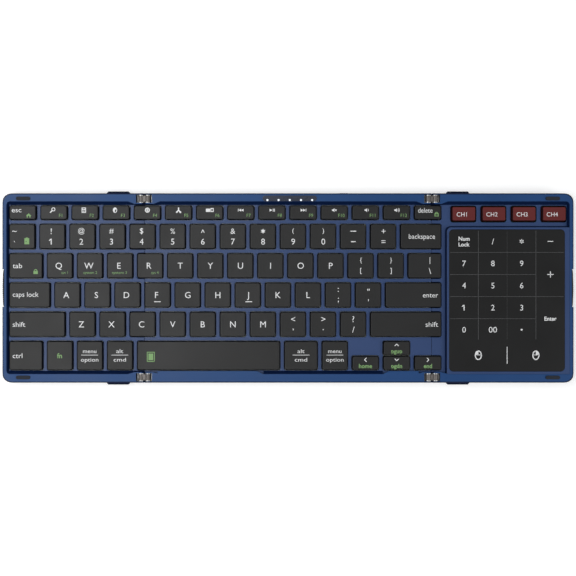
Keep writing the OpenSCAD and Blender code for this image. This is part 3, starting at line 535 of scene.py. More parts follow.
class Print:
    """Flat print laid on the tops of one node's keys."""

    def __init__(self, node, carrier):
        self.node = node
        self.bm = bmesh.new()
        self.carrier = carrier

    def text(
        self, words, x, y, cap_height, anchor="middle", colour=WHITE, width=None, centred=False, weight=0.0
    ):
        """Words with their capitals cap_height tall and centred on y, or with their whole ink centred.

        They are stretched to width if it is given, and weight makes their strokes thicker.
        """
        points, faces = text_outline(words, weight)
        k = cap_height / CAP_UNIT
        left, right = min(p.x for p in points), max(p.x for p in points)
        kx = width / (right - left) if width else k
        shift = {"left": x - left * kx, "middle": x - (left + right) / 2 * kx, "right": x - right * kx}[anchor]
        drop = (min(p.y for p in points) + max(p.y for p in points)) / 2 * k if centred else cap_height / 2
        self.patch([(p.x * kx + shift, p.y * k + y - drop) for p in points], faces, colour)

    def one(self, x, y, height):
        """The digit 1 with its flag."""
        h, w = height / 2, height * 0.085
        self.block(x - w, y - h, x + w, y + h)
        flag = [(-1, 1), (-4.6, 0.5), (-4.0, 0.22), (-1, 0.56)]
        self.shape([(x + px * w, y + py * h) for px, py in flag])

    def patch(self, points, faces, colour):
        verts = [self.bm.verts.new((x, y, 0)) for x, y in points]
        for face in faces:
            self.bm.faces.new([verts[i] for i in face]).material_index = colour

    def shape(self, points, colour=WHITE):
        self.patch(points, [range(len(points))], colour)

    def block(self, x0, y0, x1, y1, colour=WHITE):
        self.shape(rectangle(x0, y0, x1, y1), colour)

    def ring(self, x, y, outer, inner, colour=WHITE, start=0, sweep=360, steps=20):
        """A ring, an arc of one, or with inner 0 a disc."""
        turns = [math.radians(start + sweep * i / steps) for i in range(steps + 1)]
        out = [(x + outer * math.cos(a), y + outer * math.sin(a)) for a in turns]
        back = [(x + inner * math.cos(a), y + inner * math.sin(a)) for a in turns]
        for i in range(steps):
            corner = [out[i], out[i + 1], back[i + 1], back[i]] if inner else [out[i], out[i + 1], (x, y)]
            self.shape(corner, colour)

    def line(self, x0, y0, x1, y1, width, colour=WHITE):
        length = math.hypot(x1 - x0, y1 - y0)
        nx, ny = -(y1 - y0) / length * width / 2, (x1 - x0) / length * width / 2
        self.shape([(x0 + nx, y0 + ny), (x0 - nx, y0 - ny), (x1 - nx, y1 - ny), (x1 + nx, y1 + ny)], colour)

    def lay(self):
        """Drops the print onto the surface of its carrier."""
        tree = BVHTree.FromObject(self.carrier, bpy.context.evaluated_depsgraph_get())
        for v in self.bm.verts:
            hit = tree.ray_cast(Vector((v.co.x * MM, v.co.y * MM, 0.05)), Vector((0, 0, -1)))[0]
            v.co.z = hit.z / MM + 0.02
        inks = "legend_white", "legend_green", "pad_line"
        obj = new_piece(self.node + "_print", self.bm, *inks)
        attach(obj, BODY_OF[self.node])


# Heights of digits and signs, letters, words, small words, F numbers and small green words
DIGIT, LETTER, WORD, SMALL, TINY, GREEN_WORD = 3.7, 3.8, 3.0, 2.4, 2.0, 1.6
# Weight of words with thicker strokes
BOLD = 0.024
# How far print sits from a key's middle on the left panel and on the rest
SHIFTS_X = -0.5, 0.15
# The middle of a key that counts as the left panel's lies at most this far past the fold
LEFT_REACH = 12
PAIR_Y = 3.3
# Characters that are drawn smaller than the rest of their row
SMALLER = {"@": 0.82, "#": 0.88, "%": 0.88, "&": 0.92, "$": 0.9, "|": 0.85}
SMALLER |= dict.fromkeys("()", 0.75) | dict.fromkeys("{}", 0.72) | dict.fromkeys("[]", 0.78)
DASHES = {"_": 3.6, "-": 3.0}


def middle(box):
    return (box[0] + box[3]) / 2, (box[1] + box[4]) / 2


def shift_x(box):
    return SHIFTS_X[0] if middle(box)[0] < FOLDS[0] + LEFT_REACH else SHIFTS_X[1]


def letters(out, boxes, words):
    for box, word in zip(boxes, words):
        x, y = middle(box)
        out.text(word, x + shift_x(box), y, LETTER)


def pair(out, box, signs):
    """Two characters, one above the other."""
    x, y = middle(box)
    x += shift_x(box)
    for sign, rise in zip(signs, (PAIR_Y, -PAIR_Y)):
        if sign == "1":
            out.one(x, y + rise, DIGIT)
        elif sign == "*":
            star(out, x, y + rise)
        elif sign in DASHES:
            half = DASHES[sign] / 2
            out.line(x - half, y + rise, x + half, y + rise, 0.55)
        else:
            out.text(sign, x, y + rise, DIGIT * SMALLER.get(sign, 1), centred=True)


def pairs(out, boxes, words):
    """The two characters of each word on a key of its own."""
    for box, word in zip(boxes, words.split()):
        pair(out, box, word)


# How far a word starts or ends from its key's edge
LEFT_WORD, RIGHT_WORD = 2.3, 2.0
# Length of each word on the keys
WORD_LENGTHS = {"esc": 6.0, "tab": 5.9, "caps lock": 16.3, "shift": 7.9, "ctrl": 6.1}
WORD_LENGTHS |= {"delete": 9.1, "backspace": 16.6, "enter": 9.6}


def left_word(out, box, word, rise=0.0, start=LEFT_WORD):
    x, y = box[0] + start, middle(box)[1] + rise
    out.text(word, x, y, WORD, "left", width=WORD_LENGTHS[word])


def right_word(out, box, word, inset=RIGHT_WORD):
    out.text(word, box[3] - inset, middle(box)[1], WORD, "right", width=WORD_LENGTHS[word])


def stacked_words(out, box, upper, lower, lengths):
    """Two small words with a line between them."""
    x, y = middle(box)
    for word, rise, length in zip((upper, lower), (2.9, -2.5), lengths):
        out.text(word, x, y + rise, SMALL, width=length)
    out.line(x - 5.3, y + 0.4, x + 5.3, y + 0.4, 0.3)


MENU_WORDS = "menu", "option", (8.4, 11)
ALT_WORDS = "alt", "cmd", (4.4, 7.8)


def magnifier(out, x, y):
    out.ring(x + 0.5, y + 0.5, 1.25, 0.75)
    out.line(x - 0.35, y - 0.35, x - 1.6, y - 1.6, 0.65)


def padlock(out, x, y, k):
    """A green padlock, k times as large as the other icons."""
    out.block(x - 1.2 * k, y - 1.5 * k, x + 1.2 * k, y + 0.1 * k, GREEN)
    out.ring(x, y + 0.2 * k, 0.95 * k, 0.5 * k, GREEN, 0, 180, 12)


def oval(out, x, y, w, h, line, fill):
    """An upright oval outline, with the steps in fill filled out from its middle."""
    turns = [math.radians(15 * i) for i in range(25)]
    outer, inner = ([(x + (w - d) * math.cos(t), y + (h - d) * math.sin(t)) for t in turns] for d in (0, line))
    for i in range(24):
        out.shape([outer[i], outer[i + 1], inner[i + 1], inner[i]])
    out.shape([(x, y)] + [inner[i] for i in fill])


def outline_box(out, x, y, w, h, line, colour=WHITE):
    for dx, dy in ((-1, 0), (1, 0), (0, -1), (0, 1)):
        a, b = dx * (w - line) / 2, dy * (h - line) / 2
        ends = (a, -h / 2, a, h / 2) if dx else (-w / 2, b, w / 2, b)
        out.line(x + ends[0], y + ends[1], x + ends[2], y + ends[3], line, colour)


def device(out, x, y):
    outline_box(out, x, y, 2.7, 3.3, 0.5)
    out.line(x - 0.9, y + 0.35, x + 0.9, y + 0.35, 0.5)
    out.line(x - 0.5, y - 0.6, x + 0.5, y - 0.6, 0.45)


def mask(out, x, y):
    oval(out, x, y, 1.35, 1.7, 0.45, fill=range(2, 18))


def globe(out, x, y):
    out.ring(x, y, 1.6, 1.1)
    for s in (-0.6, 0, 0.6):
        half = math.sqrt(1.2**2 - s * s)
        out.line(x - half, y + s, x + half, y + s, 0.3)
    out.line(x, y - 1.2, x, y + 1.2, 0.35)


def branches(out, x, y):
    for dx, dy in ((0, 1.7), (-1.2, -1.5), (1.2, -1.5)):
        out.line(x, y + 0.1, x + dx, y + dy, 0.75)
    for s in (-1, 1):
        out.ring(x + s * 1.1, y - 1.2, 0.6, 0)


def sheets(out, x, y):
    out.block(x - 2.4, y - 1.1, x + 0.3, y + 0.9)
    outline_box(out, x + 1.5, y + 0.1, 2.0, 2.4, 0.5)


def triangle(out, x, y, size, turn):
    """A triangle that points right when turn is 0."""
    points = [(size, 0), (-size * 0.7, size * 0.95), (-size * 0.7, -size * 0.95)]
    out.shape(turned(points, x, y, turn))


def skip_back(out, x, y):
    out.line(x - 1.7, y - 0.9, x - 1.7, y + 0.9, 0.35)
    triangle(out, x - 0.5, y, 0.95, 180)
    triangle(out, x + 1.0, y, 0.95, 180)


def play_pause(out, x, y):
    triangle(out, x - 0.9, y, 1.0, 0)
    for dx in (0.7, 1.5):
        out.line(x + dx, y - 0.95, x + dx, y + 0.95, 0.45)


def skip_on(out, x, y):
    triangle(out, x - 1.0, y, 0.95, 0)
    triangle(out, x + 0.5, y, 0.95, 0)
    out.line(x + 1.7, y - 0.9, x + 1.7, y + 0.9, 0.35)


def star(out, x, y):
    out.ring(x, y, 0.95, 0)
    for turn in (30, 90, 150):
        dx, dy = 1.4 * math.cos(math.radians(turn)), 1.4 * math.sin(math.radians(turn))
        out.line(x - dx, y - dy, x + dx, y + dy, 0.5)


def speaker(out, x, y, waves):
    cone = [(-1.6, -0.45), (-0.9, -0.45), (0, -1.2), (0, 1.2), (-0.9, 0.45), (-1.6, 0.45)]
    out.shape([(x + px, y + py) for px, py in cone])
    for i in range(waves):
        out.ring(x, y, 1.0 + 0.75 * i, 0.65 + 0.75 * i, WHITE, -50, 100, 8)


def muted_speaker(out, x, y):
    """A speaker with a small cross beside it."""
    speaker(out, x, y, waves=0)
    for dy in (-0.5, 0.5):
        out.line(x + 0.45, y - dy, x + 1.35, y + dy, 0.35)


FUNCTION_ICONS = [
    *(magnifier, device, mask, globe, branches, sheets, skip_back, play_pause, skip_on, muted_speaker),
    lambda out, x, y: speaker(out, x, y, waves=1),
    lambda out, x, y: speaker(out, x, y, waves=2),
]
ICON_Y = 1.5
NUMBER_Y = -1.8


def function_print(out, boxes, first):
    """Icons in white with green F numbers, from F first on."""
    for i, box in enumerate(boxes, first):
        x, y = middle(box)
        left = x < FOLDS[0]
        FUNCTION_ICONS[i - 1](out, x + (-0.65 if left else 1.0 if i == 11 else 0.1), y + ICON_Y)
        # numbers of two digits are wider, so their middle lies nearer
        along = 4.4 if left else 5.0 if i < 10 else 4.5
        out.text(f"F{i}", x + along, y + NUMBER_Y, TINY, colour=GREEN)


def house(out, x, y):
    out.shape([(x - 1.7, y - 0.1), (x, y + 1.4), (x + 1.7, y - 0.1)], GREEN)
    for s in (-1, 1):
        out.block(x + s * 1.2, y - 1.3, x + s * 0.45, y, GREEN)


def charge_icon(out, x, y):
    """A filled cell with its cap and a dark mark."""
    w, h, nub = 1.5, 1.9, 0.6
    out.block(x - nub, y + h, x + nub, y + h + 0.4, GREEN)
    for y0, y1 in ((-h, -0.5), (0.2, h)):
        out.block(x - w, y + y0, x + w, y + y1, GREEN)
    for x0, x1 in ((-w, -0.7), (-0.2, w)):
        out.block(x + x0, y - 0.5, x + x1, y + 0.2, GREEN)


def print_left_function(out, boxes):
    left_word(out, boxes[0], "esc", 1.65, 1.7)
    x, y = middle(boxes[0])
    house(out, x + 3.9, y - 1.9)
    function_print(out, boxes[1:], 1)


def print_centre_function(out, boxes):
    function_print(out, boxes[:-1], 4)
    left_word(out, boxes[-1], "delete", 1.4)
    x, y = middle(boxes[-1])
    outline_box(out, x + 5.5, y - 1.5, 2.6, 1.9, 0.5, GREEN)
    out.ring(x + 5.5, y - 0.6, 0.95, 0.5, GREEN, 0, 180, 12)


def print_left_number(out, boxes):
    x, y = middle(boxes[0])
    out.text("~", boxes[0][0] + 3.4, y + 3.6, DIGIT)
    out.text("`", boxes[0][0] + 3.4, y - 4.6, DIGIT)
    charge_icon(out, x + 3.1, y - 3.05)
    pairs(out, boxes[1:], "!1 @2 #3")


def print_tab(out, boxes):
    left_word(out, boxes[0], "tab")
    x, y = middle(boxes[0])
    padlock(out, x + 6.3, y - 3.5, 1.15)


def green_words(out, boxes, words):
    """Small green words under the letters, each with its place and length."""
    for box, (word, along, length) in zip(boxes, words):
        x, y = middle(box)
        out.text(word, x + along, y - 4.3, GREEN_WORD, colour=GREEN, width=length)


def print_left_upper(out, boxes):
    letters(out, boxes, "QWE")
    green_words(out, boxes, (("sys 1", 3.2, 4.0), ("system 2", 0.4, 8.6), ("system 3", -0.2, 9.4)))


def print_centre_upper(out, boxes):
    letters(out, boxes[:7], "RTYUIOP")
    green_words(out, boxes, (("sys 4", 3.2, 4.6),))
    pairs(out, boxes[7:9], "{[ }]")
    x0, y0, _, x1, y1, _ = boxes[9]
    pair(out, (x1 - 13.6, y0, 0, x1 - 1.0, y1, 0), "|\\")


def print_centre_home(out, boxes):
    letters(out, boxes[:6], "FGHJKL")
    home_bars(out, (boxes[0], boxes[3]))
    pairs(out, boxes[6:], """:; "'""")


def home_bars(out, boxes):
    for box in boxes:
        x, y = middle(box)
        x += shift_x(box) + 0.5
        out.line(x - 2.1, y - 4.2, x + 2.1, y - 4.2, 0.5)


def print_centre_lower(out, boxes):
    letters(out, boxes[:5], "CVBNM")
    pairs(out, boxes[-3:], "<, >. ?/")


def print_left_bottom(out, boxes):
    left_word(out, boxes[0], "ctrl")
    x, y = middle(boxes[1])
    out.text("fn", x, y, WORD, colour=GREEN, weight=0.016)
    stacked_words(out, boxes[2], *MENU_WORDS)
    stacked_words(out, boxes[3], *ALT_WORDS)


def print_right_bottom(out, boxes):
    stacked_words(out, boxes[0], *ALT_WORDS)
    stacked_words(out, boxes[1], *MENU_WORDS)


def print_space(out, boxes):
    x, y = boxes[0][0] + 8.7, middle(boxes[0])[1]
    outline_box(out, x, y - 0.7, 5.0, 6.3, 0.5, GREEN)
    out.block(x - 1.5, y - 2.8, x + 1.5, y + 1.4, GREEN)


def chevron(out, x, y, turn):
    for s in (-1, 1):
        tip, tail = turned([(0.65, 0), (-0.65, s * 1.25)], x, y, turn)
        out.line(*tip, *tail, 0.5)


def print_arrows(out, boxes):
    """Left, down, up and right, each with a green word."""
    lows = sorted(boxes, key=lambda b: (round(b[0]), b[1]))
    for box, turn, word in zip(lows, (180, -90, 90, 0), ("home", "pgdn", "pgup", "end")):
        x, y = middle(box)
        chevron(out, x, y + 2.1, turn)
        out.text(word, x, y - 1.8, 2.5, colour=GREEN, weight=BOLD)


def print_modes(out, boxes):
    for i, box in enumerate(boxes):
        x, y = middle(box)
        out.text(f"CH{i + 1}", x - 1.35, y - 0.4, 2.6)


PRINTS = {
    "left_function_keys": print_left_function,
    "centre_function_keys": print_centre_function,
    "left_number_keys": print_left_number,
    "centre_number_keys": lambda out, boxes: pairs(out, boxes, "$4 %5 ^6 &7 *8 (9 )0 _- +="),
    "backspace_key": lambda out, boxes: right_word(out, boxes[0], "backspace", 3.9),
    "tab_key": print_tab,
    "left_upper_keys": print_left_upper,
    "centre_upper_keys": print_centre_upper,
    "caps_key": lambda out, boxes: left_word(out, boxes[0], "caps lock", 0.4),
    "left_home_keys": lambda out, boxes: letters(out, boxes, "ASD"),
    "centre_home_keys": print_centre_home,
    "enter_key": lambda out, boxes: right_word(out, boxes[0], "enter"),
    "left_shift_key": lambda out, boxes: left_word(out, boxes[0], "shift"),
    "left_lower_keys": lambda out, boxes: letters(out, boxes, "ZX"),
    "centre_lower_keys": print_centre_lower,
    "right_shift_key": lambda out, boxes: right_word(out, boxes[0], "shift"),
    "left_bottom_keys": print_left_bottom,
    "space_bar": print_space,
    "right_bottom_keys": print_right_bottom,
    "arrow_keys": print_arrows,
    "mode_keys": print_modes,
}


# ---- Touch pad: a number grid under a coated glass ----
PAD_ROW = 13.93
PAD_TOP_ROW = 14.45
PAD_FIRST, PAD_COLUMN = 18.4, 18.15
PAD_TEXT = 3.5
PAD_LINE = 0.2
# Middle of the two mouse buttons' signs above the pad's front edge
MOUSE_RISE = 10.2


def print_pad(out):
    low, high = (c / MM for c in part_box("pad_glass"))
    xs = [low.x] + [low.x + PAD_FIRST + PAD_COLUMN * i for i in range(3)] + [high.x]
    ys = [high.y - PAD_TOP_ROW - PAD_ROW * i for i in range(4)]
    floor = ys[-1] - PAD_ROW + 0.8
    for i, y in enumerate(ys):
        reach = xs[4] - 0.6 if i in (0, 2) else xs[3]
        out.line(xs[0] + 0.6, y, reach, y, PAD_LINE, GREY)
    for i in (1, 2, 3):
        out.line(xs[i], high.y - 0.8, xs[i], floor, PAD_LINE * (0.4 if i == 2 else 1.2), GREY)
    centres = [low.x + PAD_FIRST + PAD_COLUMN * (i - 0.5) + 0.1 for i in range(4)]
    rows = [high.y - PAD_TOP_ROW / 2] + [y - PAD_ROW / 2 for y in ys]
    for word, rise in (("Num", 1.4), ("Lock", -2.2)):
        out.text(word, centres[0], rows[0] + rise, SMALL, width=7.0, weight=BOLD)
    out.text("/", centres[1], rows[0] - 0.4, PAD_TEXT)
    star(out, centres[2], rows[0] - 0.3)
    plus = (rows[1] + rows[2]) / 2
    out.line(centres[3] - 1.75, rows[0] - 0.3, centres[3] + 1.75, rows[0] - 0.3, 0.45)
    out.line(centres[3] - 1.95, plus, centres[3] + 1.95, plus, 0.5)
    out.line(centres[3], plus - 1.95, centres[3], plus + 1.95, 0.5)
    for i, digit in enumerate("789456123"):
        spot = centres[i % 3], rows[1 + i // 3], PAD_TEXT
        out.one(*spot) if digit == "1" else out.text(digit, *spot)
    out.text("0", centres[0], rows[4], PAD_TEXT)
    out.text("00", centres[1], rows[4], PAD_TEXT, width=5.2)
    out.ring(centres[2], rows[4], 0.6, 0)
    out.text("Enter", centres[3], (rows[3] + rows[4]) / 2, SMALL, width=7.6, weight=BOLD)
    mouse_y = low.y + MOUSE_RISE
    out.line(xs[2], mouse_y - 5.4, xs[2], mouse_y + 5.4, 0.42)
    for x, fill in ((xs[1], range(6, 13)), (xs[3], range(7))):
        oval(out, x, mouse_y, 2.25, 3.0, 0.65, fill)
        out.line(x - 1.9, mouse_y + 0.2, x + 1.9, mouse_y + 0.2, 0.4)


# ---- Metal, rubber and electronics ----
SCREW_HEAD = 0.45
SCREW_SHANK = 0.85


def cross_screw(bm, x, y, box):
    """A flat-headed screw that points up: countersunk rim below, with a cross in it."""
    z0, z1 = box[2], box[5]
    head_r = (box[3] - box[0]) / 2

    def cross(k):
        arm, half = head_r * 0.62 * k, head_r * 0.16 * k
        side = [(arm, -half), (arm, half), (half, half)]
        return [point for quarter in range(4) for point in turned(side, x, y, 90 * quarter)]

    rings = [(head_r - 0.18, z0), (head_r - 0.05, z0 + 0.05), (head_r, z0 + 0.14)]
    rings += [(head_r, z0 + SCREW_HEAD - 0.08), (head_r - 0.08, z0 + SCREW_HEAD), (SCREW_SHANK, z0 + SCREW_HEAD)]
    rings += [(SCREW_SHANK, z1 - 0.4), (SCREW_SHANK * 0.5, z1)]
    loops = [add_loop(bm, circle(x, y, r, 15), z) for r, z in rings]
    skin(bm, loops, bottom=False)
    mouth, floor = add_loop(bm, cross(1), z0), add_loop(bm, cross(0.8), z0 + 0.32)
    skin(bm, [mouth, floor], bottom=False)
    # the flat of the head: the outer circle has two points for each point of the cross
    outer = loops[0]
    for i in range(12):
        j = (i + 1) % 12
        a, b, c = outer[(2 * i - 1) % 24], outer[2 * i], outer[(2 * i + 1) % 24]
        bm.faces.new((a, b, mouth[i]))
        bm.faces.new((b, c, mouth[i]))
        bm.faces.new((c, mouth[j], mouth[i]))


def make_screws(node):
    bm = bmesh.new()
    for box in solids(node):
        cross_screw(bm, *middle(box), box)
    replacement(node, "cross", bm)


# Depth of a link's plate below its barrels, and of the slots beside them
LINK_WAIST, LINK_SLOT = 0.55, 0.3
# The round part of a barrel: from this many degrees on, and how many it turns through
LINK_FROM, LINK_SWEEP, LINK_STEPS = -38, 166, 16


def make_links(node):
    """Hinge links: a round barrel at each end, joined by a lower plate with a slot beside each barrel."""
    bm = bmesh.new()
    for x0, y0, z0, x1, y1, z1 in solids(node):
        cx, cz = (x0 + x1) / 2, (z0 + z1) / 2
        r = (z1 - z0) / 2
        reach = (x1 - x0) / 2 - r
        turns = [math.radians(LINK_FROM + LINK_SWEEP * i / LINK_STEPS) for i in range(LINK_STEPS + 1)]
        right = [(cx + reach + r * math.cos(a), cz + r * math.sin(a)) for a in turns]
        left = [(2 * cx - x, z) for x, z in right]
        plate = cz + r - LINK_WAIST
        slot = plate - LINK_SLOT
        top = [(right[-1][0], slot), (right[-1][0] - 0.35, slot), (right[-1][0] - 0.35, plate)]
        loop = right + top + [(2 * cx - x, z) for x, z in top[::-1]] + left[::-1]
        loop = [(x, max(z, z0)) for x, z in loop]
        rings = []
        for y, k in ((y0, 0.96), (y0 + 0.12, 1), (y1 - 0.12, 1), (y1, 0.96)):
            rings.append([bm.verts.new((cx + (x - cx) * k, y, cz + (z - cz) * k)) for x, z in loop])
        skin(bm, rings)
    replacement(node, "barrels", bm)


def make_switch():
    """The power slider: a knob with three grooves across its finger face."""
    x0, y0, z0, x1, y1, z1 = solids("power_switch")[0]
    bm = bmesh.new()
    across = [(x0, y0), (x1, y0), (x1, y1 - 0.15), (x1 - 0.15, y1)]
    count, wide = 3, 0.5
    step = (x1 - x0 - 1.2) / count
    for i in range(count):
        middle_x = x1 - 0.6 - step * (i + 0.5)
        groove = ((wide / 2, 0), (wide / 4, 0.3), (-wide / 4, 0.3), (-wide / 2, 0))
        across += [(middle_x + along, y1 - deep) for along, deep in groove]
    across += [(x0 + 0.15, y1), (x0, y1 - 0.15)]
    skin(bm, [add_loop(bm, across, z) for z in (z0, z1)])
    replacement("power_switch", "knob", bm)


def make_socket():
    """The charging socket: an oval steel shell with a tongue and its contacts."""
    x0, y0, z0, x1, y1, z1 = solids("charging_socket")[0]
    bm = bmesh.new()
    wall = 0.3

    def shell(inset, y):
        points = round_loop(x0 + inset, z0 + inset, x1 - inset, z1 - inset, [1.2 - inset] * 4, 6)
        return [bm.verts.new((x, y, z)) for x, z in points]

    outside = [(0, y0), (0, y1 - 0.1), (0.1, y1)]
    inside = [(wall - 0.05, y1), (wall, y1 - 0.1), (wall, y0 + 0.8)]
    skin(bm, [shell(*ring) for ring in outside + inside])
    cx, cz = (x0 + x1) / 2, (z0 + z1) / 2
    half, back, front, chamfer, contact = 3.2, y0 + 0.7, y1 - 0.7, 0.3, 0.13
    tongue = [(cx - half, back), (cx + half, back), (cx + half, front - chamfer)]
    tongue += [(cx + half - chamfer, front), (cx - half + chamfer, front), (cx - half, front - chamfer)]
    skin(bm, [add_loop(bm, tongue, cz - 0.35), add_loop(bm, tongue, cz + 0.35)], 1)
    for i in range(12):
        x = cx - 2.75 + 0.5 * i
        for z, flip in ((cz + 0.36, False), (cz - 0.36, True)):
            ring = add_loop(bm, rectangle(x - contact, y0 + 1, x + contact, y1 - 1.1), z)
            cap(bm, ring[::-1] if flip else ring, 2)
    replacement("charging_socket", "shell", bm, "switch_black", "contact_gold")


# How far the middle of a grip stands out past its ends, how deep its ribs are cut, and how many there are
GRIP_ARCH, RIB_DEEP, RIBS = 0.5, 0.16, 13


def make_grip(node):
    """A rubber finger grip: the CAD bulge with upright ribs between plain ends."""
    x0, y0, z0, x1, y1, z1 = solids(node)[0]
    side = 1 if x1 > 0 else -1
    back = x0 if side > 0 else x1
    ends = (x1 - x0) - GRIP_ARCH
    bm = bmesh.new()
    count = 96
    rib_from, rib_to = 0.16, 0.84
    face = []
    for i in range(count + 1):
        t = i / count
        swell = ends + GRIP_ARCH * (1 - (2 * t - 1) ** 2)
        if rib_from < t < rib_to:
            phase = (t - rib_from) / (rib_to - rib_from) * RIBS
            swell -= RIB_DEEP * max(0, math.sin(2 * math.pi * phase)) ** 0.5
        end = min(t, 1 - t) * (y1 - y0)
        swell -= 0.6 * max(0, 1 - end / 0.9) ** 2
        face.append((back + side * swell, y0 + (y1 - y0) * t))
    outline = [(back, y0)] + face + [(back, y1)]
    if side > 0:
        outline = outline[::-1]
    rings = [(z0, 0.3), (z0 + 0.1, 0.1), (z0 + 0.3, 0), (z1 - 0.3, 0), (z1 - 0.1, 0.1), (z1, 0.3)]
    loops = []
    for z, pull in rings:
        loops.append(add_loop(bm, [(x - side * pull if abs(x - back) > 0.3 else x, y) for x, y in outline], z))
    skin(bm, loops)
    replacement(node, "ribs", bm)


LIGHTS, LIGHT_STEP, LIGHT_R = 5, 7.05, 0.65
# How far the lights lie in front of the window's middle
LIGHT_Y = 1.05


def make_lights():
    """The clear tips of the light pipes, level with the window."""
    low, high = (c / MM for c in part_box("status_window"))
    cx, cy = (low.x + high.x) / 2, (low.y + high.y) / 2 - LIGHT_Y
    bm = bmesh.new()
    for i in range(LIGHTS):
        x = cx + (i - (LIGHTS - 1) / 2) * LIGHT_STEP
        rings = ((1, -0.4), (1, 0.01), (0.8, 0.02), (0.4, 0.03))
        skin(bm, [add_loop(bm, circle(x, cy, LIGHT_R * k, 20), high.z + rise) for k, rise in rings], bottom=False)
    obj = new_piece("status_light_tips", bm, "light_pipe", smooth=True)
    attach(obj, BODY_OF["status_window"])


DECK_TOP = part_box("left_deck")[1].z / MM
RAIL_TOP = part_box("left_rails")[1].z / MM
# How far a rail's inner bezel reaches over the deck: behind, at the ends and in front
BEZEL_REAR, BEZEL_END, BEZEL_FRONT = 2.0, 1.15, 1.9
BEZEL_SHELF = 0.25
# Beyond this depth the bezel stops short of the key openings
BEZEL_OPENINGS, BEZEL_LIMIT_REAR, BEZEL_LIMIT_FRONT = 52, 52.55, -52.4
# Inner edges of the rails from above, with the deck on the left hand
REAR_IN, FRONT_IN, SWELL_IN, END_IN = 54.65, -54.3, 53.1, 177.6
# Beside a fold the rails are wider: how far from their ends the wide part and its slope reach
SWELL_NEAR, SWELL_FAR = 5.9, 9.9


def swell(x, side, y):
    """Points along a rail at y from its end at x, over its wide part and the slope beside it."""
    wide = math.copysign(SWELL_IN, y)
    return [(x, wide), (x + side * SWELL_NEAR, wide), (x + side * SWELL_FAR, y)]


def corner(side, y):
    """Points round the inner corner of the rails at one end, from the rail at y to the end rail."""
    x, along, across = side * END_IN, -side, -math.copysign(1, y)
    return [(x + 2 * along, y), (x + 0.6 * along, y + 0.6 * across), (x, y + 2 * across)]


LEFT_REAR, LEFT_FRONT = (swell(-90.955, -1, y) + corner(-1, y) for y in (REAR_IN, FRONT_IN))
CENTRE_REAR = swell(90.78, -1, REAR_IN) + swell(-90.755, 1, REAR_IN)[::-1]
BEZELS = {
    "left_rails": [LEFT_REAR + LEFT_FRONT[::-1]],
    "centre_rails": [CENTRE_REAR, [(-15.555, FRONT_IN), (59.78, FRONT_IN)]],
    "right_rails": [[(END_IN, 39.1)] + corner(1, REAR_IN)[::-1] + swell(90.98, 1, REAR_IN)[::-1]],
}
# Rounded inner corners of the rails
RAIL_CORNERS = {"left_rails": [(-1, REAR_IN), (-1, FRONT_IN)], "right_rails": [(1, REAR_IN)]}


def inward(a, b):
    """The unit direction on the left hand of the way from a to b."""
    length = math.hypot(b[0] - a[0], b[1] - a[1])
    return -(b[1] - a[1]) / length, (b[0] - a[0]) / length


def bezel_reach(normal):
    ends = abs(normal[0])
    return BEZEL_END * ends + (BEZEL_REAR if normal[1] < 0 else BEZEL_FRONT) * (1 - ends)


def moved(point, n1, n2, r1, r2):
    """A corner moved by r1 along n1 and r2 along n2."""
    turn = n1[0] * n2[1] - n1[1] * n2[0]
    if abs(turn) < 0.05:
        return point[0] + n1[0] * r1, point[1] + n1[1] * r1
    return point[0] + (r1 * n2[1] - r2 * n1[1]) / turn, point[1] + (n1[0] * r2 - n2[0] * r1) / turn


def make_bezel(node):
    """A sloping bezel from the inner edge of a rail down to the deck, coloured dark navy as painted shade where
    the rail's wall meets the deck.
    """
    bm = bmesh.new()
    for path in BEZELS[node]:
        normals = [inward(a, b) for a, b in zip(path, path[1:])]
        rings = []
        for point, n1, n2 in zip(path, normals[:1] + normals, normals + normals[-1:]):
            x, y = moved(point, n1, n2, bezel_reach(n1), bezel_reach(n2))
            if abs(point[1]) > BEZEL_OPENINGS:
                y = max(y, BEZEL_LIMIT_REAR) if y > 0 else min(y, BEZEL_LIMIT_FRONT)
            shelf = moved(point, n1, n2, BEZEL_SHELF, BEZEL_SHELF)
            section = [
                (*point, DECK_TOP + 0.02),
                (x, y, DECK_TOP + 0.02),
                (x, y, DECK_TOP + 0.1),
                (*shelf, RAIL_TOP - 0.12),
                (*point, RAIL_TOP - 0.01),
            ]
            rings.append([bm.verts.new(v) for v in section])
        skin(bm, rings)
    for side, y in RAIL_CORNERS.get(node, ()):
        points = [(side * END_IN, y)] + corner(side, y)
        skin(bm, [add_loop(bm, points, RAIL_TOP - 0.3), add_loop(bm, points, RAIL_TOP - 0.005)], 1)
    obj = new_piece(node + "_bezel", bm, "shade_navy", "rail_blue")
    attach(obj, BODY_OF[node])


# The frame round the touch pad: its left and back edges, and the radius of the corner between them
FRAME_X, FRAME_Y, FRAME_CORNER = 100.2, 38.3, 2.2
# Width of the painted shade line at the frame's foot
SHADE_LINE_WIDE = 0.75


def make_groove_shade():
    """A dark line of painted shade at the foot of the touch pad's frame."""
    bm = bmesh.new()
    turns = [math.radians(90 * i / 6) for i in range(7)]
    rings = []
    for wide in (0, SHADE_LINE_WIDE):
        r = FRAME_CORNER + wide
        cx, cy = FRAME_X + FRAME_CORNER, FRAME_Y - FRAME_CORNER
        arc = [(cx - r * math.cos(t), cy + r * math.sin(t)) for t in turns]
        rings.append([(FRAME_X - wide, FRONT_IN + 0.2)] + arc + [(END_IN - 0.2, FRAME_Y + wide)])
    inner, outer = rings
    for z in (DECK_TOP + 0.02, DECK_TOP + 0.06):
        cap(bm, add_loop(bm, inner + outer[::-1], z))
    obj = new_piece("pad_frame_shade_line", bm, "shade_navy")
    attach(obj, BODY_OF["pad_glass"])


# Keys that reach over a fold stand on tongues of the middle panel's cover
COVER_TOP = 1.8
# How far the painted shade film reaches past each key, sideways and to front and back
SLIT_SHADE_X, SLIT_SHADE_Y = 1.9, 1.3


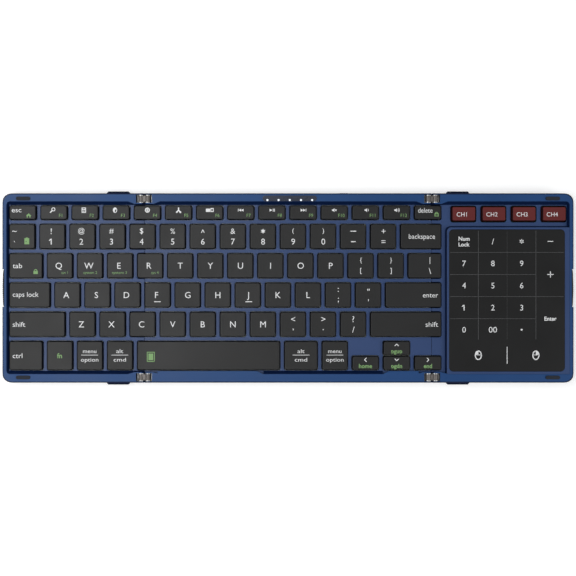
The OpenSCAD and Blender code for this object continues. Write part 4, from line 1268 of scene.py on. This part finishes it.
def make_slit_shades():
    """Thin dark film over the slits round those tongues: painted shade in place of the floor seen through them.
    """
    bm = bmesh.new()
    for node in KEY_NODES:
        for x0, y0, _, x1, y1, _ in solids(node):
            for fold in FOLDS:
                if x0 < fold < x1:
                    a, b = (x0 - SLIT_SHADE_X, fold) if fold < 0 else (fold, x1 + SLIT_SHADE_X)
                    for z in (COVER_TOP + 0.02, COVER_TOP + 0.08):
                        cap(bm, add_loop(bm, rectangle(a, y0 - SLIT_SHADE_Y, b, y1 + SLIT_SHADE_Y), z))
    obj = new_piece("fold_slit_shades", bm, "switch_black")
    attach(obj, BODY_OF["centre_base"])


# CAD nodes that stay: the width of their rounded edges
SOFT_EDGES = {"rails": 0.15, "deck": 0.16, "base": 0.18, "bumpers": 0.22, "feet": 0.22, "glass": 0.2}
SOFT_EDGES |= {"brackets": 0.12, "pins": 0.15, "window": 0.12, "board": 0.05, "battery": 0.5}


def finish_cad_nodes():
    for name, obj in NODES.items():
        if obj.hide_render:
            continue
        obj.data.materials.clear()
        obj.data.materials.append(MATERIALS[SLOT_OF[name]])
        if name.endswith("_rails"):
            # the slopes along the top of the rails get a dark navy, painted shade that makes them darker than
            # their flats
            obj.data.materials.append(MATERIALS["shade_navy"])
            for polygon in obj.data.polygons:
                polygon.material_index = int(0.3 < polygon.normal.z < 0.95)
        for word, width in SOFT_EDGES.items():
            if word in name.split("_"):
                soften(obj, width, smooth=word != "rails")


# ---- Stage and light ----
# The floor's light of its own as the camera sees it, and its reach to each side in metres
FLOOR_GLOW = 0.45
FLOOR_REACH = 3.0


def make_stage():
    bm = bmesh.new()
    cap(bm, add_loop(bm, rectangle(-FLOOR_REACH, -FLOOR_REACH, FLOOR_REACH, FLOOR_REACH), 0))
    mesh = bpy.data.meshes.new("floor")
    bm.to_mesh(mesh)
    bm.free()
    floor = add_object("floor", mesh)
    material = bpy.data.materials.new("floor_white")
    mesh.materials.append(material)
    m = Nodes(material)
    m.set(Base_Color=(0.86, 0.86, 0.86, 1), Roughness=0.9, Specular_IOR_Level=0.1)
    rays = m.add("ShaderNodeLightPath").outputs
    seen = m.number("MAXIMUM", rays["Is Camera Ray"], rays["Is Glossy Ray"])
    m.set(Emission_Color=(1, 1, 1, 1), Emission_Strength=m.number("MULTIPLY", seen, FLOOR_GLOW))


def area_light(name, place, size, watts, aim=(0, 0, 0)):
    data = bpy.data.lights.new(name, "AREA")
    data.shape = "RECTANGLE"
    data.size, data.size_y = size
    data.energy = watts
    light = add_object(name, data)
    light.location = place
    light.rotation_euler = (Vector(aim) - Vector(place)).to_track_quat("-Z", "Y").to_euler()


# Strength of the sky near the floor and overhead. The camera sees it white
HORIZON, ZENITH = 0.2, 0.27


def make_light():
    area_light("soft_box", (-0.36, 0.05, 0.8), (0.48, 0.9), 4.3, (-0.36, 0.05, 0))
    area_light("fill_light", (1.3, -0.4, 0.9), (0.8, 0.8), 7)
    world = bpy.data.worlds.new("studio")
    m = Nodes(world, "Background")
    rise = m.add("ShaderNodeSeparateXYZ", Vector=m.texture.outputs["Generated"]).outputs["Z"]
    seen = m.add("ShaderNodeLightPath").outputs["Is Camera Ray"]
    sky = m.between(rise, HORIZON, ZENITH, 0.0, 0.9)
    m.set(Color=(0.95, 0.97, 1.0, 1), Strength=m.number("MAXIMUM", sky, seen))
    bpy.context.scene.world = world
    bpy.context.scene.view_settings.view_transform = "Standard"


# ---- Build ----
make_camera()
for node in KEY_NODES:
    caps = make_keys(node)
    ink = Print(node, caps)
    PRINTS[node](ink, solids(node))
    ink.lay()
for node in NODES:
    if node.endswith("_screws"):
        make_screws(node)
    elif node.endswith("_links"):
        make_links(node)
    elif node.endswith("_grip"):
        make_grip(node)
    elif node.endswith("_rails"):
        make_bezel(node)
    elif node.endswith(("_scissors", "_membrane")):
        make_lifters(node)
make_switch()
make_socket()
make_lights()
make_groove_shade()
make_slit_shades()
finish_cad_nodes()
pad_ink = Print("pad_glass", NODES["pad_glass"])
print_pad(pad_ink)
pad_ink.lay()
make_stage()
make_light()
